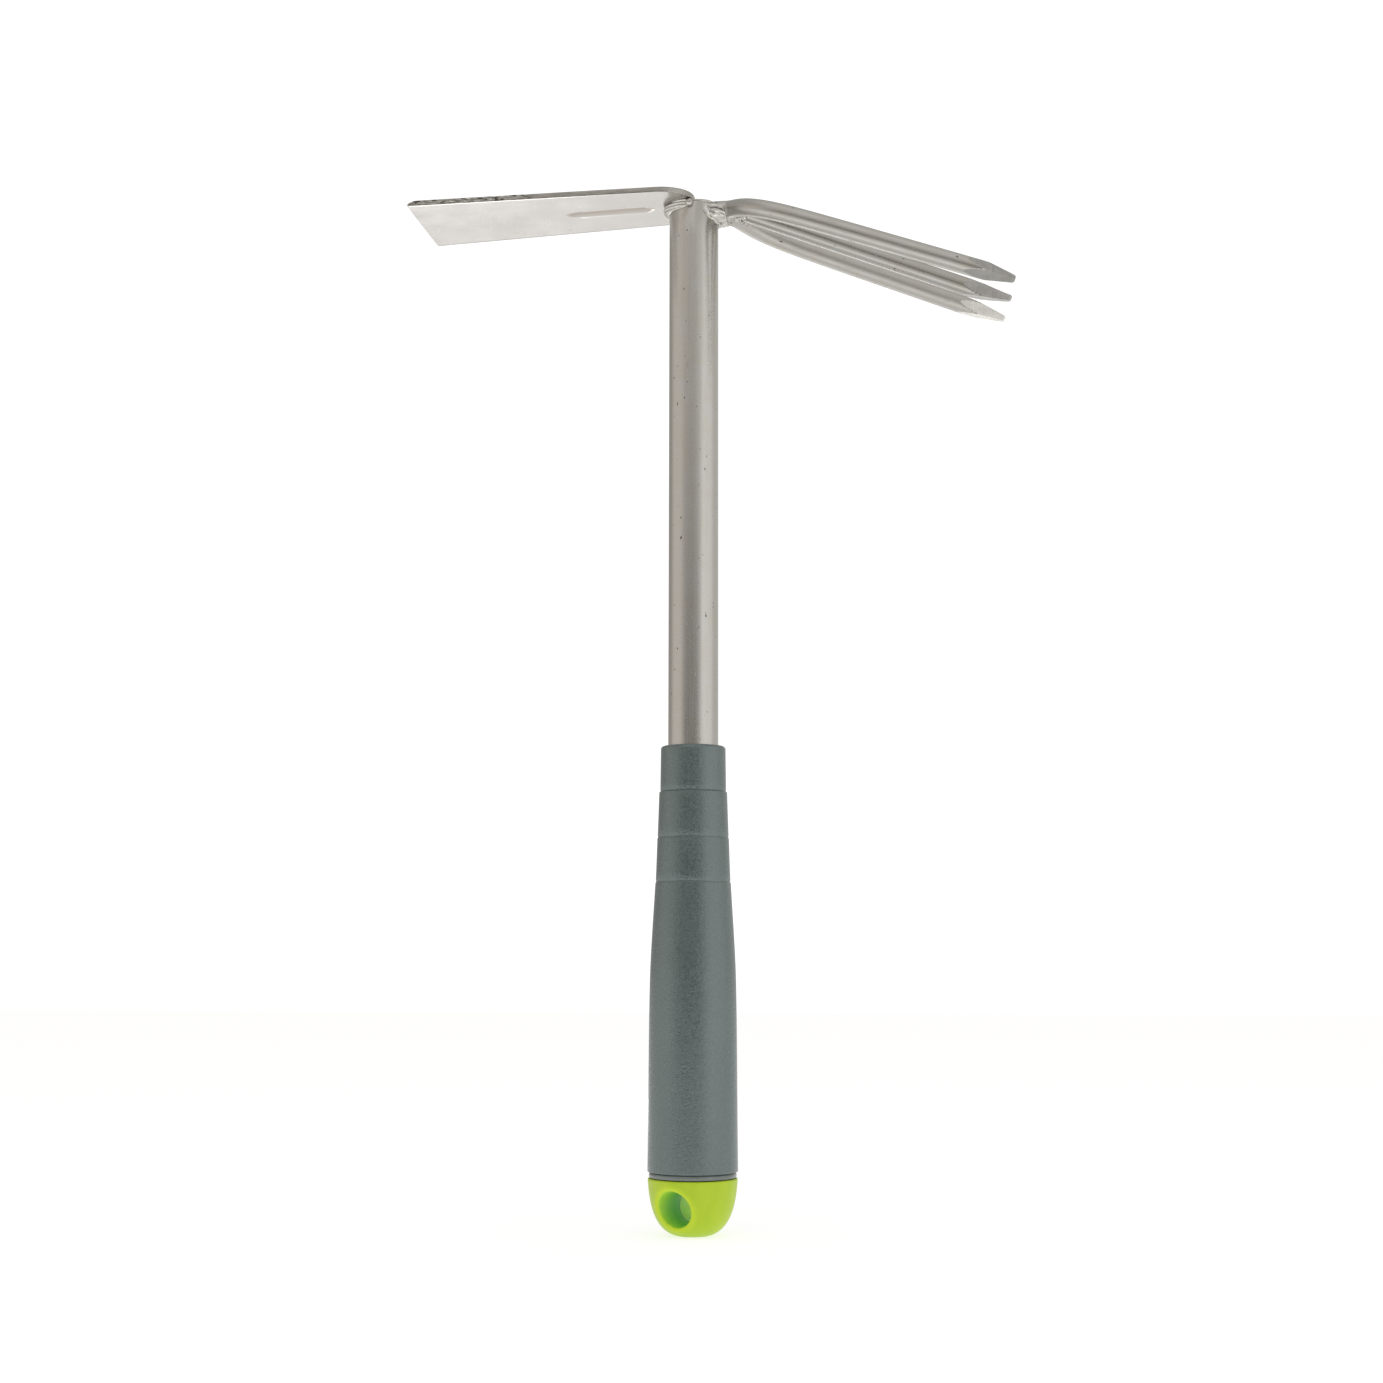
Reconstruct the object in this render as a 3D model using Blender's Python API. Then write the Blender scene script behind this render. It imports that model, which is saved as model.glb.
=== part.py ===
"""Hand cultivator: a welded hoe blade and three-prong fork on a steel tube, with a soft grip and a cap.

The shaft stands along +Z with the head up. The blade points to -X, the fork to +X, and the
origin is on the shaft's axis, in the small flat on the bottom of the end cap. Units are metres.
"""

from math import atan2, cos, exp, log, pi, radians, sin, sqrt, tan

import bmesh
import bpy
from mathutils import Matrix, Vector

GAP = 0.0003                    # clearance between pieces that touch

# Shaft tube
TUBE_RADIUS = 0.0095
TUBE_WALL = 0.0012
TUBE_BOTTOM = 0.0620            # the tube ends inside the handle
TUBE_TOP = 0.3920

# Hoe blade: a flat plate that lies on the tube's end and droops a little to its cutting edge
BLADE_THICKNESS = 0.0020
BLADE_DROOP = radians(2.7)
BLADE_UNDERSIDE = 0.3929        # height of the lower face on the tube's axis
BLADE_TIP_X = -0.1073           # cutting edge
BLADE_ROOT_X = 0.0007           # inner end, on top of the tube
BLADE_TIP_HALF_WIDTH = 0.0242
BLADE_ROOT_HALF_WIDTH = 0.0191
BLADE_TIP_RAKE = 0.0011         # the front corner is this much further out than the middle
BLADE_ROOT_CORNER = 0.0140      # radius of the corners beside the tube
BLADE_TIP_CORNER = 0.0010
EDGE_BEVEL_LENGTH = 0.0030      # sharpened strip on the upper face
EDGE_THICKNESS = 0.0009
RIB_OUTER_X = -0.0510           # the stiffening rib, pressed upwards
RIB_INNER_X = -0.0150
RIB_HALF_WIDTH = 0.0034
RIB_HEIGHT = 0.0012

# Fork: two outer prongs leave the tube side by side and flare out; the middle one starts in their crotch
TINE_RADIUS = 0.0035
TINE_ROOT_Z = 0.3898
ROOT_OFFSET = 0.00365           # the outer prongs lie side by side at the tube
FLARE_START_X = 0.0155
FLARE_SOFTNESS = 0.0012
FLARE_SIZE = 0.01355           # how far the flare carries an outer prong outwards
FLARE_LENGTH = 0.0080
FLARE_TAPER = 0.0890            # further spreading per unit length
BEND_X = 0.0162                 # middle of the downward bend
BEND_SOFTNESS = 0.0010
TINE_SLOPE = 0.3560
MIDDLE_SLOPE = 0.3740           # the middle prong falls a little more steeply
MIDDLE_MEETS_X = 0.0890         # and is level with the outer ones here
POINT_LENGTH = 0.0178           # ground point: four flats
POINT_HALF_SIZE = 0.0010        # half the width of the blunt end
PRONGS = {                      # side, root x, tip x, turn of the point's flats, lift of the tip
    "tine_front": (-1, 0.0082, 0.1220, radians(-38), 0.0),
    "tine_middle": (0, 0.0188, 0.1217, 0.0, 0.0012),
    "tine_back": (1, 0.0082, 0.1209, 0.0, 0.0),
}

# Weld metal
BLADE_BEAD_REACH = 0.0026       # along the blade
BLADE_BEAD_DROP = 0.0042        # down the tube
BLADE_BEAD_SPREAD = radians(86)     # how far the bead reaches to each side of -X
COLLAR_HALF_WIDTH = 0.0048      # bead round the outer prongs where they meet the tube
COLLAR_HALF_HEIGHT = 0.0041
COLLAR_END_X = 0.0134
COLLAR_END_SHARE = 0.94         # its size there
COLLAR_TOP = TINE_ROOT_Z + 0.0004
POOL_EDGE = 0.0006
POOL_CROWN = 0.0011
CROTCH_START_X = 0.0146
CROTCH_END_X = 0.0206
CROTCH_HALF_HEIGHT = 0.0027

# Handle
GRIP_TOP = 0.1814
GRIP_BOTTOM = 0.0234
CORE_BOTTOM = 0.0214
CORE_TOP = 0.1745
GRIP_ROUND = 0.0012
SLEEVE_FOOT_ROUND = 0.0008
SLEEVE_WALL = 0.0032
SLEEVE_BODY = (                 # (height, radius) of the sleeve's outer side
    (0.0234, 0.01680),
    (0.0422, 0.01665),
    (0.0712, 0.01644),
    (0.0862, 0.01627),
    (0.0972, 0.01602),
    (0.1085, 0.01548),
    (0.1234, 0.01458),
    (0.1300, 0.01417),
)
COLLARS = (                     # (bottom, radius there, top, radius there), from the bottom one up
    (0.1304, 0.01403, 0.1467, 0.01348),
    (0.1471, 0.01336, 0.1640, 0.01282),
    (0.1644, 0.01242, 0.1814, 0.01224),
)
CORE_LEAST_WALL = 0.0010
CORE_STATIONS = (0.0422, 0.0862, 0.1085, 0.1300, 0.1640)
FLANGE_RADIUS = 0.0163
FLANGE_ROUND = 0.0007
CORE_FLANGE_TOP = GRIP_BOTTOM - GAP
CORE_LEDGE = 0.0560             # the ledge that the steel tube stands on
SPIGOT_RADIUS = 0.0098
SPIGOT_TOP = 0.0400
SPIGOT_CHAMFER = 0.0008

# End cap: a dome with a slanting hanging hole
CAP_TOP = CORE_BOTTOM - GAP
CAP_RIM_ROUND = 0.0007
CAP_RADIUS = 0.0170             # the dome's outline is part of a superellipse with this half width
CAP_HEIGHT = 0.04075            # and this height
CAP_APEX = -0.0003              # its lowest point, below the flat that the cap stands on
CAP_ROUNDNESS = 2.9
CAP_FULLNESS = 4.1
CAP_FLAT_RADIUS = 0.0050
DOME_SHOULDER = 0.0040          # below this the dome turns quickly towards the flat
HOLE_RADIUS = 0.0066
HOLE_Z = 0.0107
HOLE_TURN = radians(-26)        # the hole's axis is turned this much from Y

ROUND_STEPS = 40                # sides of the turned pieces
TINE_SIDES = 20
COLLAR_SIDES = 17


def clear_scene():
    for obj in list(bpy.data.objects):
        bpy.data.objects.remove(obj, do_unlink=True)


def material(name, colour, roughness, metallic):
    made = bpy.data.materials.new(name)
    made.use_nodes = True
    shader = made.node_tree.nodes["Principled BSDF"]
    shader.inputs["Base Color"].default_value = (*colour, 1.0)
    shader.inputs["Roughness"].default_value = roughness
    shader.inputs["Metallic"].default_value = metallic
    return made


def mesh_object(name, build, look=None, smooth_angle=40):
    """A closed mesh made by build(bm), facing out, with its material."""
    bm = bmesh.new()
    build(bm)
    bmesh.ops.recalc_face_normals(bm, faces=bm.faces)
    mesh = bpy.data.meshes.new(name)
    bm.to_mesh(mesh)
    bm.free()
    mesh.shade_smooth()
    mesh.set_sharp_from_angle(angle=radians(smooth_angle))
    if look:
        mesh.materials.append(look)
    obj = bpy.data.objects.new(name, mesh)
    bpy.context.scene.collection.objects.link(obj)
    return obj


def as_cutter(obj):
    obj.hide_render = True
    obj.display_type = "WIRE"
    return obj


def cut(obj, cutter, operation="DIFFERENCE"):
    boolean = obj.modifiers.new("Cut " + cutter.name, "BOOLEAN")
    boolean.operation = operation
    boolean.solver = "EXACT"
    boolean.object = cutter


def smoothstep(t):
    t = min(max(t, 0.0), 1.0)
    return t * t * (3 - 2 * t)


def loft(bm, rings, closed=False):
    """Skins equal rings of points; the ends are filled, or joined to each other when closed."""
    made = [[bm.verts.new(point) for point in ring] for ring in rings]
    pairs = list(zip(made, made[1:]))
    if closed:
        pairs.append((made[-1], made[0]))
    for first, second in pairs:
        for i in range(len(first)):
            j = (i + 1) % len(first)
            bm.faces.new((first[i], first[j], second[j], second[i]))
    if not closed:
        bm.faces.new(made[0])
        bm.faces.new(made[-1])


def turned(bm, profile, steps=ROUND_STEPS):
    """Turns a closed outline of (radius, height) about Z."""
    rings = []
    for step in range(steps):
        angle = 2 * pi * step / steps
        rings.append([(r * cos(angle), r * sin(angle), z) for r, z in profile])
    loft(bm, rings, closed=True)


def arc(centre, radius, start, end, count):
    """Points (radius, height) on a round corner, from angle start to angle end in degrees."""
    points = []
    for i in range(count):
        angle = radians(start + (end - start) * i / (count - 1))
        points.append((centre[0] + radius * cos(angle), centre[1] + radius * sin(angle)))
    return points


# Shaft

def shaft_tube(bm):
    inner = TUBE_RADIUS - TUBE_WALL
    turned(bm, [(inner, TUBE_BOTTOM), (TUBE_RADIUS, TUBE_BOTTOM), (TUBE_RADIUS, TUBE_TOP), (inner, TUBE_TOP)])


# Hoe blade

def blade_underside(x):
    return BLADE_UNDERSIDE + x * tan(BLADE_DROOP)


def blade_half_width(x):
    """Half the blade's width at x, with its four round corners."""
    share = (x - BLADE_TIP_X) / (BLADE_ROOT_X - BLADE_TIP_X)
    half = BLADE_TIP_HALF_WIDTH + (BLADE_ROOT_HALF_WIDTH - BLADE_TIP_HALF_WIDTH) * share
    for end, radius in ((BLADE_ROOT_X, BLADE_ROOT_CORNER), (BLADE_TIP_X, BLADE_TIP_CORNER)):
        into = radius - abs(x - end)
        if into > 0:
            half -= radius - sqrt(max(radius * radius - into * into, 0.0))
    return half


def rib_rise(x, y):
    along = (x - RIB_OUTER_X) / (RIB_INNER_X - RIB_OUTER_X)
    if not 0 < along < 1:
        return 0.0
    ends = smoothstep(along / 0.18) * smoothstep((1 - along) / 0.12)
    across = abs(y) / (RIB_HALF_WIDTH * (0.35 + 0.65 * ends))
    return RIB_HEIGHT * ends * (1 - smoothstep(across))


def blade_stations():
    """Places along the blade: close together at the corners, the bevel and the rib's ends."""
    steps = [BLADE_TIP_X + BLADE_TIP_CORNER * (1 - cos(radians(a))) for a in (0, 35, 65, 90)]
    steps.append(BLADE_TIP_X + EDGE_BEVEL_LENGTH)
    steps += [-0.085, -0.066]
    rib_length = RIB_INNER_X - RIB_OUTER_X
    steps += [RIB_OUTER_X + rib_length * share for share in (0, 0.08, 0.18, 0.4, 0.65, 0.88, 0.95, 1)]
    corner = BLADE_ROOT_X - BLADE_ROOT_CORNER
    steps += [corner + BLADE_ROOT_CORNER * sin(radians(a)) for a in range(0, 91, 15)]
    return steps


def hoe_blade(bm):
    across = (-1, -0.7, -0.4) + tuple(k * 0.25 for k in range(-4, 5)) + (0.4, 0.7, 1)
    rings = []
    for x in blade_stations():
        half = blade_half_width(x)
        from_edge = min((x - BLADE_TIP_X) / EDGE_BEVEL_LENGTH, 1.0)
        thickness = EDGE_THICKNESS + (BLADE_THICKNESS - EDGE_THICKNESS) * from_edge
        near_tip = (BLADE_ROOT_X - x) / (BLADE_ROOT_X - BLADE_TIP_X)
        lower, upper = [], []
        for i, share in enumerate(across):
            inside_rib = 3 <= i < len(across) - 3
            y = share * RIB_HALF_WIDTH if inside_rib else share * half
            rake = BLADE_TIP_RAKE * (y / BLADE_TIP_HALF_WIDTH) * near_tip
            base = blade_underside(x) + rib_rise(x, y)
            lower.append((x + rake, y, base))
            upper.append((x + rake, y, base + thickness))
        rings.append(lower + upper[::-1])
    loft(bm, rings)


# Fork

def ramp(x, start, softness):
    """Grows like x - start once x is past start, with a soft beginning."""
    return softness * log(1 + exp((x - start) / softness))


def tine_centre(x, side):
    """Centre line of a prong: side is -1, 0 or 1 across the tool."""
    flare = ramp(x, FLARE_START_X, FLARE_SOFTNESS)
    offset = ROOT_OFFSET + FLARE_SIZE * (1 - exp(-flare / FLARE_LENGTH)) + FLARE_TAPER * flare
    drop = TINE_SLOPE * ramp(x, BEND_X, BEND_SOFTNESS)
    if side == 0:
        drop += (MIDDLE_SLOPE - TINE_SLOPE) * (x - MIDDLE_MEETS_X)
    return Vector((x, side * offset, TINE_ROOT_Z - drop))


def tine_stations(root, tip):
    """Places along a prong: close together in its bends and at its point."""
    places = [root, 0.0105, 0.0125]
    places += [0.0140 + 0.0011 * i for i in range(12)]
    places += [0.0285, 0.0310, 0.0340, 0.0380, 0.0430, 0.0520, 0.0700, 0.0880]
    places += [tip - POINT_LENGTH * (1 - share) for share in (0, 0.08, 0.2, 0.4, 0.7, 1)]
    return [x for x in places if x >= root]


def tine_rings(side, root, tip, roll, lift, grow=0.0):
    """Rings of a prong. Its point is cut by four flats, turned by roll, and its tip is raised by lift."""
    rings = []
    taper = (TINE_RADIUS - POINT_HALF_SIZE) / POINT_LENGTH
    for x in tine_stations(root, tip):
        along = (tine_centre(x + 1e-4, side) - tine_centre(x - 1e-4, side)).normalized()
        across = Vector((0, 0, 1)).cross(along).normalized()
        upward = along.cross(across)
        into_point = max(0.0, 1 - (tip - x) / POINT_LENGTH)
        centre = tine_centre(x, side) + lift * into_point ** 2 * upward
        flat = POINT_HALF_SIZE + taper * (tip - x)
        ring = []
        for i in range(TINE_SIDES):
            angle = 2 * pi * i / TINE_SIDES
            to_flat = (angle - roll + pi / 4) % (pi / 2) - pi / 4
            radius = min(TINE_RADIUS, flat / cos(to_flat)) + grow
            ring.append(centre + radius * (cos(angle) * across + sin(angle) * upward))
        rings.append(ring)
    return rings


# Weld metal

def blade_weld(bm):
    """Fillet in the corner between the tube's outer wall and the blade's lower face."""
    section = ((0, 0), (1, 0), (0.8, -0.35), (0.45, -0.75), (0, -1))
    rings = []
    steps = 20
    for step in range(steps + 1):
        share = 2 * step / steps - 1
        angle = pi + BLADE_BEAD_SPREAD * share
        size = 0.3 + 0.7 * sqrt(1 - share ** 4)
        ring = []
        for out, down in section:
            reach = TUBE_RADIUS + GAP + BLADE_BEAD_REACH * size * out
            x = reach * cos(angle)
            z = blade_underside(x) - GAP + BLADE_BEAD_DROP * size * down
            ring.append((x, reach * sin(angle), z))
        rings.append(ring)
    loft(bm, rings)


def root_collar(bm, side):
    """Bead round the root of an outer prong, before the tube and the prongs are cut from it."""
    rings = []
    for x, share in ((0.0040, 1.0), (0.0110, 1.0), (0.0124, 0.98), (COLLAR_END_X, COLLAR_END_SHARE)):
        ring = []
        for i in range(COLLAR_SIDES):
            angle = 2 * pi * (i + 0.5) / COLLAR_SIDES
            y = side * ROOT_OFFSET + share * COLLAR_HALF_WIDTH * cos(angle)
            ring.append((x, y, TINE_ROOT_Z + share * COLLAR_HALF_HEIGHT * sin(angle)))
        rings.append(ring)
    loft(bm, rings)


def collar_trim(bm):
    bmesh.ops.create_cube(bm, size=0.04)
    bmesh.ops.translate(bm, vec=(0, 0, COLLAR_TOP + 0.02), verts=bm.verts)


def top_weld(bm):
    """Shallow pool on the open half of the tube's end, from the blade to the prongs."""
    edge_x = BLADE_ROOT_X + GAP
    radius = TUBE_RADIUS - 0.0002
    half_angle = pi / 2 - atan2(edge_x, sqrt(radius ** 2 - edge_x ** 2))
    count = 12
    outline = []
    for i in range(count + 1):
        angle = half_angle * (2 * i / count - 1)
        outline.append((radius * cos(angle), radius * sin(angle)))
    middle_x = 0.0046
    rings = []
    for share, rise in ((1.0, 0.0), (1.0, POOL_EDGE), (0.7, 0.9 * POOL_CROWN), (0.35, POOL_CROWN)):
        height = TUBE_TOP + GAP + rise
        rings.append([(middle_x + (x - middle_x) * share, y * share, height) for x, y in outline])
    loft(bm, rings)


def crotch_weld(bm):
    """Wedge of weld in the crotch of the outer prongs, in front of the middle one."""
    rings = []
    steps = 6
    for step in range(steps + 1):
        x = CROTCH_START_X + (CROTCH_END_X - CROTCH_START_X) * step / steps
        across = tine_centre(x, 1).y - 0.0012
        tall = CROTCH_HALF_HEIGHT * (1 - 0.35 * (step / steps) ** 2)
        middle = tine_centre(x, 1).z - 0.0003
        ring = []
        for i in range(16):
            angle = 2 * pi * i / 16
            ring.append((x, across * cos(angle), middle + tall * sin(angle)))
        rings.append(ring)
    loft(bm, rings)


# Handle

def sleeve_outline():
    """Outer side of the soft sleeve as (radius, height): a full lower end, then stepped collars."""
    outline = [(r, z) for z, r in SLEEVE_BODY]
    for bottom, low_radius, top, high_radius in COLLARS:
        outline += [(low_radius, bottom), (high_radius, top)]
    return outline


def core_radius(z):
    """The core follows the sleeve, but keeps its own wall round the steel tube."""
    outline = sleeve_outline()
    outer = outline[-1][0]
    for (r_low, low), (r_high, high) in zip(outline, outline[1:]):
        if low <= z <= high:
            outer = r_low + (r_high - r_low) * (z - low) / (high - low)
    return max(outer - SLEEVE_WALL, TUBE_RADIUS + GAP + CORE_LEAST_WALL)


def grip_sleeve(bm):
    foot = SLEEVE_BODY[0][1]
    outer = arc((foot - SLEEVE_FOOT_ROUND, GRIP_BOTTOM + SLEEVE_FOOT_ROUND), SLEEVE_FOOT_ROUND, -90, 0, 4)
    outer += sleeve_outline()[1:-1]
    outer += arc((COLLARS[-1][3] - GRIP_ROUND, GRIP_TOP - GRIP_ROUND), GRIP_ROUND, 0, 90, 4)
    bore = TUBE_RADIUS + GAP
    inner = [(bore, GRIP_TOP), (bore, CORE_TOP + GAP)]
    for z in (CORE_TOP + GAP,) + CORE_STATIONS[::-1] + (GRIP_BOTTOM,):
        inner.append((core_radius(z) + GAP, z))
    turned(bm, outer + inner)


def handle_core(bm):
    bore = TUBE_RADIUS + GAP
    neck = bore - 0.0018
    socket = SPIGOT_RADIUS + 0.0004
    outer = [(FLANGE_RADIUS - FLANGE_ROUND, CORE_BOTTOM), (FLANGE_RADIUS, CORE_BOTTOM + FLANGE_ROUND),
             (FLANGE_RADIUS, CORE_FLANGE_TOP)]
    for z in (CORE_FLANGE_TOP,) + CORE_STATIONS + (CORE_TOP,):
        outer.append((core_radius(z), z))
    inner = [(bore, CORE_TOP), (bore, TUBE_BOTTOM - GAP), (neck, TUBE_BOTTOM - GAP),
             (neck, CORE_LEDGE), (socket, CORE_LEDGE - 0.0020), (socket, CORE_BOTTOM)]
    turned(bm, outer + inner)


# End cap

def dome_height(r):
    """Height of the dome's outer face at radius r."""
    depth = (1 - (r / CAP_RADIUS) ** CAP_ROUNDNESS) ** (1 / CAP_FULLNESS)
    return CAP_APEX + CAP_HEIGHT * (1 - depth)


def dome_radius(z):
    depth = 1 - (z - CAP_APEX) / CAP_HEIGHT
    return CAP_RADIUS * (1 - depth ** CAP_FULLNESS) ** (1 / CAP_ROUNDNESS)


def end_cap(bm):
    """Round dome with a spigot that plugs into the handle's core."""
    profile = [(CAP_FLAT_RADIUS, 0.0)]
    shoulder = dome_radius(DOME_SHOULDER)
    for i in range(1, 8):
        r = CAP_FLAT_RADIUS + (shoulder - CAP_FLAT_RADIUS) * i / 8
        profile.append((r, dome_height(r)))
    rim = CAP_TOP - CAP_RIM_ROUND
    for i in range(9):
        z = DOME_SHOULDER + (rim - DOME_SHOULDER) * i / 8
        profile.append((dome_radius(z), z))
    profile += arc((dome_radius(rim) - CAP_RIM_ROUND, rim), CAP_RIM_ROUND, 25, 90, 4)
    profile += [(SPIGOT_RADIUS, CAP_TOP), (SPIGOT_RADIUS, SPIGOT_TOP - SPIGOT_CHAMFER),
                (SPIGOT_RADIUS - SPIGOT_CHAMFER, SPIGOT_TOP)]
    rings = []
    for r, z in profile:
        angles = [2 * pi * step / ROUND_STEPS for step in range(ROUND_STEPS)]
        rings.append([(r * cos(a), r * sin(a), z) for a in angles])
    loft(bm, rings)


def hole_cutter(bm):
    bmesh.ops.create_cone(bm, cap_ends=True, segments=28, radius1=HOLE_RADIUS, radius2=HOLE_RADIUS,
                          depth=4 * CAP_RADIUS)
    turn = Matrix.Rotation(HOLE_TURN, 4, "Z") @ Matrix.Rotation(radians(90), 4, "X")
    bmesh.ops.transform(bm, matrix=Matrix.Translation((0, 0, HOLE_Z)) @ turn, verts=bm.verts)


def tube_envelope(bm):
    reach = TUBE_RADIUS + GAP
    bmesh.ops.create_cone(bm, cap_ends=True, segments=ROUND_STEPS, radius1=reach, radius2=reach, depth=0.04)
    bmesh.ops.translate(bm, vec=(0, 0, TINE_ROOT_Z), verts=bm.verts)


def build():
    clear_scene()
    steel = material("satin stainless steel", (0.50, 0.49, 0.46), 0.34, 1.0)
    blade_steel = material("polished stainless steel", (0.62, 0.61, 0.58), 0.22, 1.0)
    weld_steel = material("weld metal", (0.48, 0.47, 0.45), 0.28, 1.0)
    soft = material("slate soft plastic", (0.115, 0.140, 0.140), 0.62, 0.0)
    hard = material("slate hard plastic", (0.100, 0.120, 0.125), 0.38, 0.0)
    lime = material("lime plastic", (0.40, 0.60, 0.035), 0.35, 0.0)

    mesh_object("shaft_tube", shaft_tube, steel)
    mesh_object("hoe_blade", hoe_blade, blade_steel)

    envelope = as_cutter(mesh_object("tube_envelope", tube_envelope))
    tines = {}
    clearances = {}
    for name, shape in PRONGS.items():
        tines[name] = mesh_object(name, lambda bm, s=shape: loft(bm, tine_rings(*s)), steel)
        fat = mesh_object(name + "_clearance", lambda bm, s=shape: loft(bm, tine_rings(*s, GAP)))
        clearances[name] = as_cutter(fat)
    for name in ("tine_front", "tine_back"):
        cut(tines[name], envelope)
        cut(tines["tine_middle"], clearances[name])

    mesh_object("blade_weld", blade_weld, weld_steel)
    mesh_object("top_weld", top_weld, weld_steel)
    collar = mesh_object("tine_weld", lambda bm: root_collar(bm, -1), weld_steel)
    other_half = as_cutter(mesh_object("collar_half", lambda bm: root_collar(bm, 1)))
    cut(collar, other_half, "UNION")
    cut(collar, as_cutter(mesh_object("collar_trim", collar_trim)))
    cut(collar, envelope)
    crotch = mesh_object("crotch_weld", crotch_weld, weld_steel)
    for name, clearance in clearances.items():
        cut(crotch, clearance)
        if name != "tine_middle":
            cut(collar, clearance)

    mesh_object("grip_sleeve", grip_sleeve, soft)
    mesh_object("handle_core", handle_core, hard)
    cap = mesh_object("end_cap", end_cap, lime)
    cut(cap, as_cutter(mesh_object("hole_cutter", hole_cutter)))


build()
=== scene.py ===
"""Looks of the hand cultivator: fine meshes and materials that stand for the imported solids.

The shaft stands along +Z with the head up. The blade points to -X and the fork to +X.
Units are metres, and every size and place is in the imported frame.
"""

from math import atan2, cos, exp, log, pi, radians, sin, sqrt, tan

import bmesh
import bpy
import numpy as np
from mathutils import Matrix, Vector


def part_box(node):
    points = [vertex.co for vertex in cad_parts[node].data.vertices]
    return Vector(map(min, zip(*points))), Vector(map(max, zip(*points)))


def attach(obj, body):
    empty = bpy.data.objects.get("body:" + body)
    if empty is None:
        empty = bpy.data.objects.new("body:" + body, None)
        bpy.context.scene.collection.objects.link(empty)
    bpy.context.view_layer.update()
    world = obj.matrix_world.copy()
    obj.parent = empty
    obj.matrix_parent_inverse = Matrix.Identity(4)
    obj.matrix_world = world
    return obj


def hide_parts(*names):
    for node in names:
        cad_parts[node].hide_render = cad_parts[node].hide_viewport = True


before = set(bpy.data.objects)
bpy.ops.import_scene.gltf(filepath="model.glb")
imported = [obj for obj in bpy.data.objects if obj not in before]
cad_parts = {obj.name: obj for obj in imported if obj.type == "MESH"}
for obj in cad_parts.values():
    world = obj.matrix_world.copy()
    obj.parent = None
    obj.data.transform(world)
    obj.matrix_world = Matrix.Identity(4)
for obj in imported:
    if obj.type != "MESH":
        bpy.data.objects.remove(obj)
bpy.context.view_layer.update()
BODY = "root"
GAP = 0.0003                    # clearance between pieces that touch
CONTACT = 0.00002               # clearance where pieces are welded or pressed tight together


def low(node):
    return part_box(node)[0]


def high(node):
    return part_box(node)[1]


# Shaft tube
TUBE_RADIUS = high("shaft_tube").x
TUBE_WALL = 0.0012
TUBE_BOTTOM = low("shaft_tube").z
TUBE_TOP = high("shaft_tube").z
TUBE_EDGE = 0.00025             # rounding of its ends

# Hoe blade
BLADE_THICKNESS = 0.0020
BLADE_DROOP = radians(2.7)
BLADE_UNDERSIDE = 0.3929        # height of the lower face on the tube's axis
BLADE_TIP_X = -0.1073
BLADE_ROOT_X = 0.0007
BLADE_TIP_HALF_WIDTH = 0.0242
BLADE_ROOT_HALF_WIDTH = 0.0191
BLADE_TIP_RAKE = 0.0011         # the front corner is this much further out than the middle
BLADE_ROOT_CORNER = 0.0140
BLADE_TIP_CORNER = 0.0010
EDGE_BEVEL_LENGTH = 0.0030      # sharpened strip on the upper face
EDGE_THICKNESS = 0.0009
RIB_OUTER_X = -0.0510
RIB_INNER_X = -0.0150
RIB_HALF_WIDTH = 0.0034
RIB_HEIGHT = 0.0012
BURR_INNER_X = -0.0560          # the cut edges have grinding marks from the tip to here
BURR_DEPTH = 0.00016

# Fork
TINE_RADIUS = 0.0035
TINE_ROOT_Z = 0.3898
ROOT_OFFSET = 0.00365
FLARE_START_X = 0.0155
FLARE_SOFTNESS = 0.0012
FLARE_SIZE = 0.01355
FLARE_LENGTH = 0.0080
FLARE_TAPER = 0.0890
BEND_X = 0.0162
BEND_SOFTNESS = 0.0010
TINE_SLOPE = 0.3560
MIDDLE_SLOPE = 0.3740           # the middle prong falls a little more steeply
MIDDLE_MEETS_X = 0.0890         # and is level with the outer ones here
MIDDLE_ROOT_X = 0.0188
POINT_LENGTH = 0.0178
POINT_HALF_SIZE = 0.0010
TIP_EDGE = 0.0002               # the blunt end's edges are rounded by this much
ROOT_TAPER = 0.0009             # the middle prong's root is thinner by this much
ROOT_TAPER_LENGTH = 0.0015
TINE_SIDES = 64
ROOT_RINGS = 8                  # rings over which an outer prong leaves the tube's wall
PRONGS = {                      # side, root x, tip x, turn of the point's flats, lift of the tip
    "tine_front": (-1, 0.0082, 0.1220, radians(-38), 0.0),
    "tine_middle": (0, MIDDLE_ROOT_X, 0.1217, 0.0, 0.0012),
    "tine_back": (1, 0.0082, 0.1209, 0.0, 0.0),
}

# How light each prong's steel is painted, and how matt each is. The prongs are one steel, so their
# lightness differs only as painted light and shade.
ROD_PAINTED_LIGHT = {"tine_front": 0.42, "tine_middle": 0.385, "tine_back": 0.455}
ROD_MATT = {"tine_front": 0.08, "tine_middle": 0.02, "tine_back": 0.17}
# The points' lightness is painted light and shade as well: the back point is painted much paler.
POINT_PAINTED_LIGHT = {"tine_front": 0.36, "tine_middle": 0.52, "tine_back": 0.86}

# Weld metal
COLLAR_END_X = 0.0134
COLLAR_TOP = TINE_ROOT_Z + 0.0004
POOL_EDGE = 0.0006
POOL_CROWN = 0.0011
CROTCH_START_X = 0.0146
CROTCH_END_X = 0.0206
BLADE_BEAD_SPREAD = radians(84)     # how far the bead reaches to each side of -X
BLADE_BEAD_HEIGHT = 0.00225
CRATER_RADIUS = 0.0015
PIT_RADIUS = 0.0007
WELD_STEP = 0.00022             # mesh size of the weld beads

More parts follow.
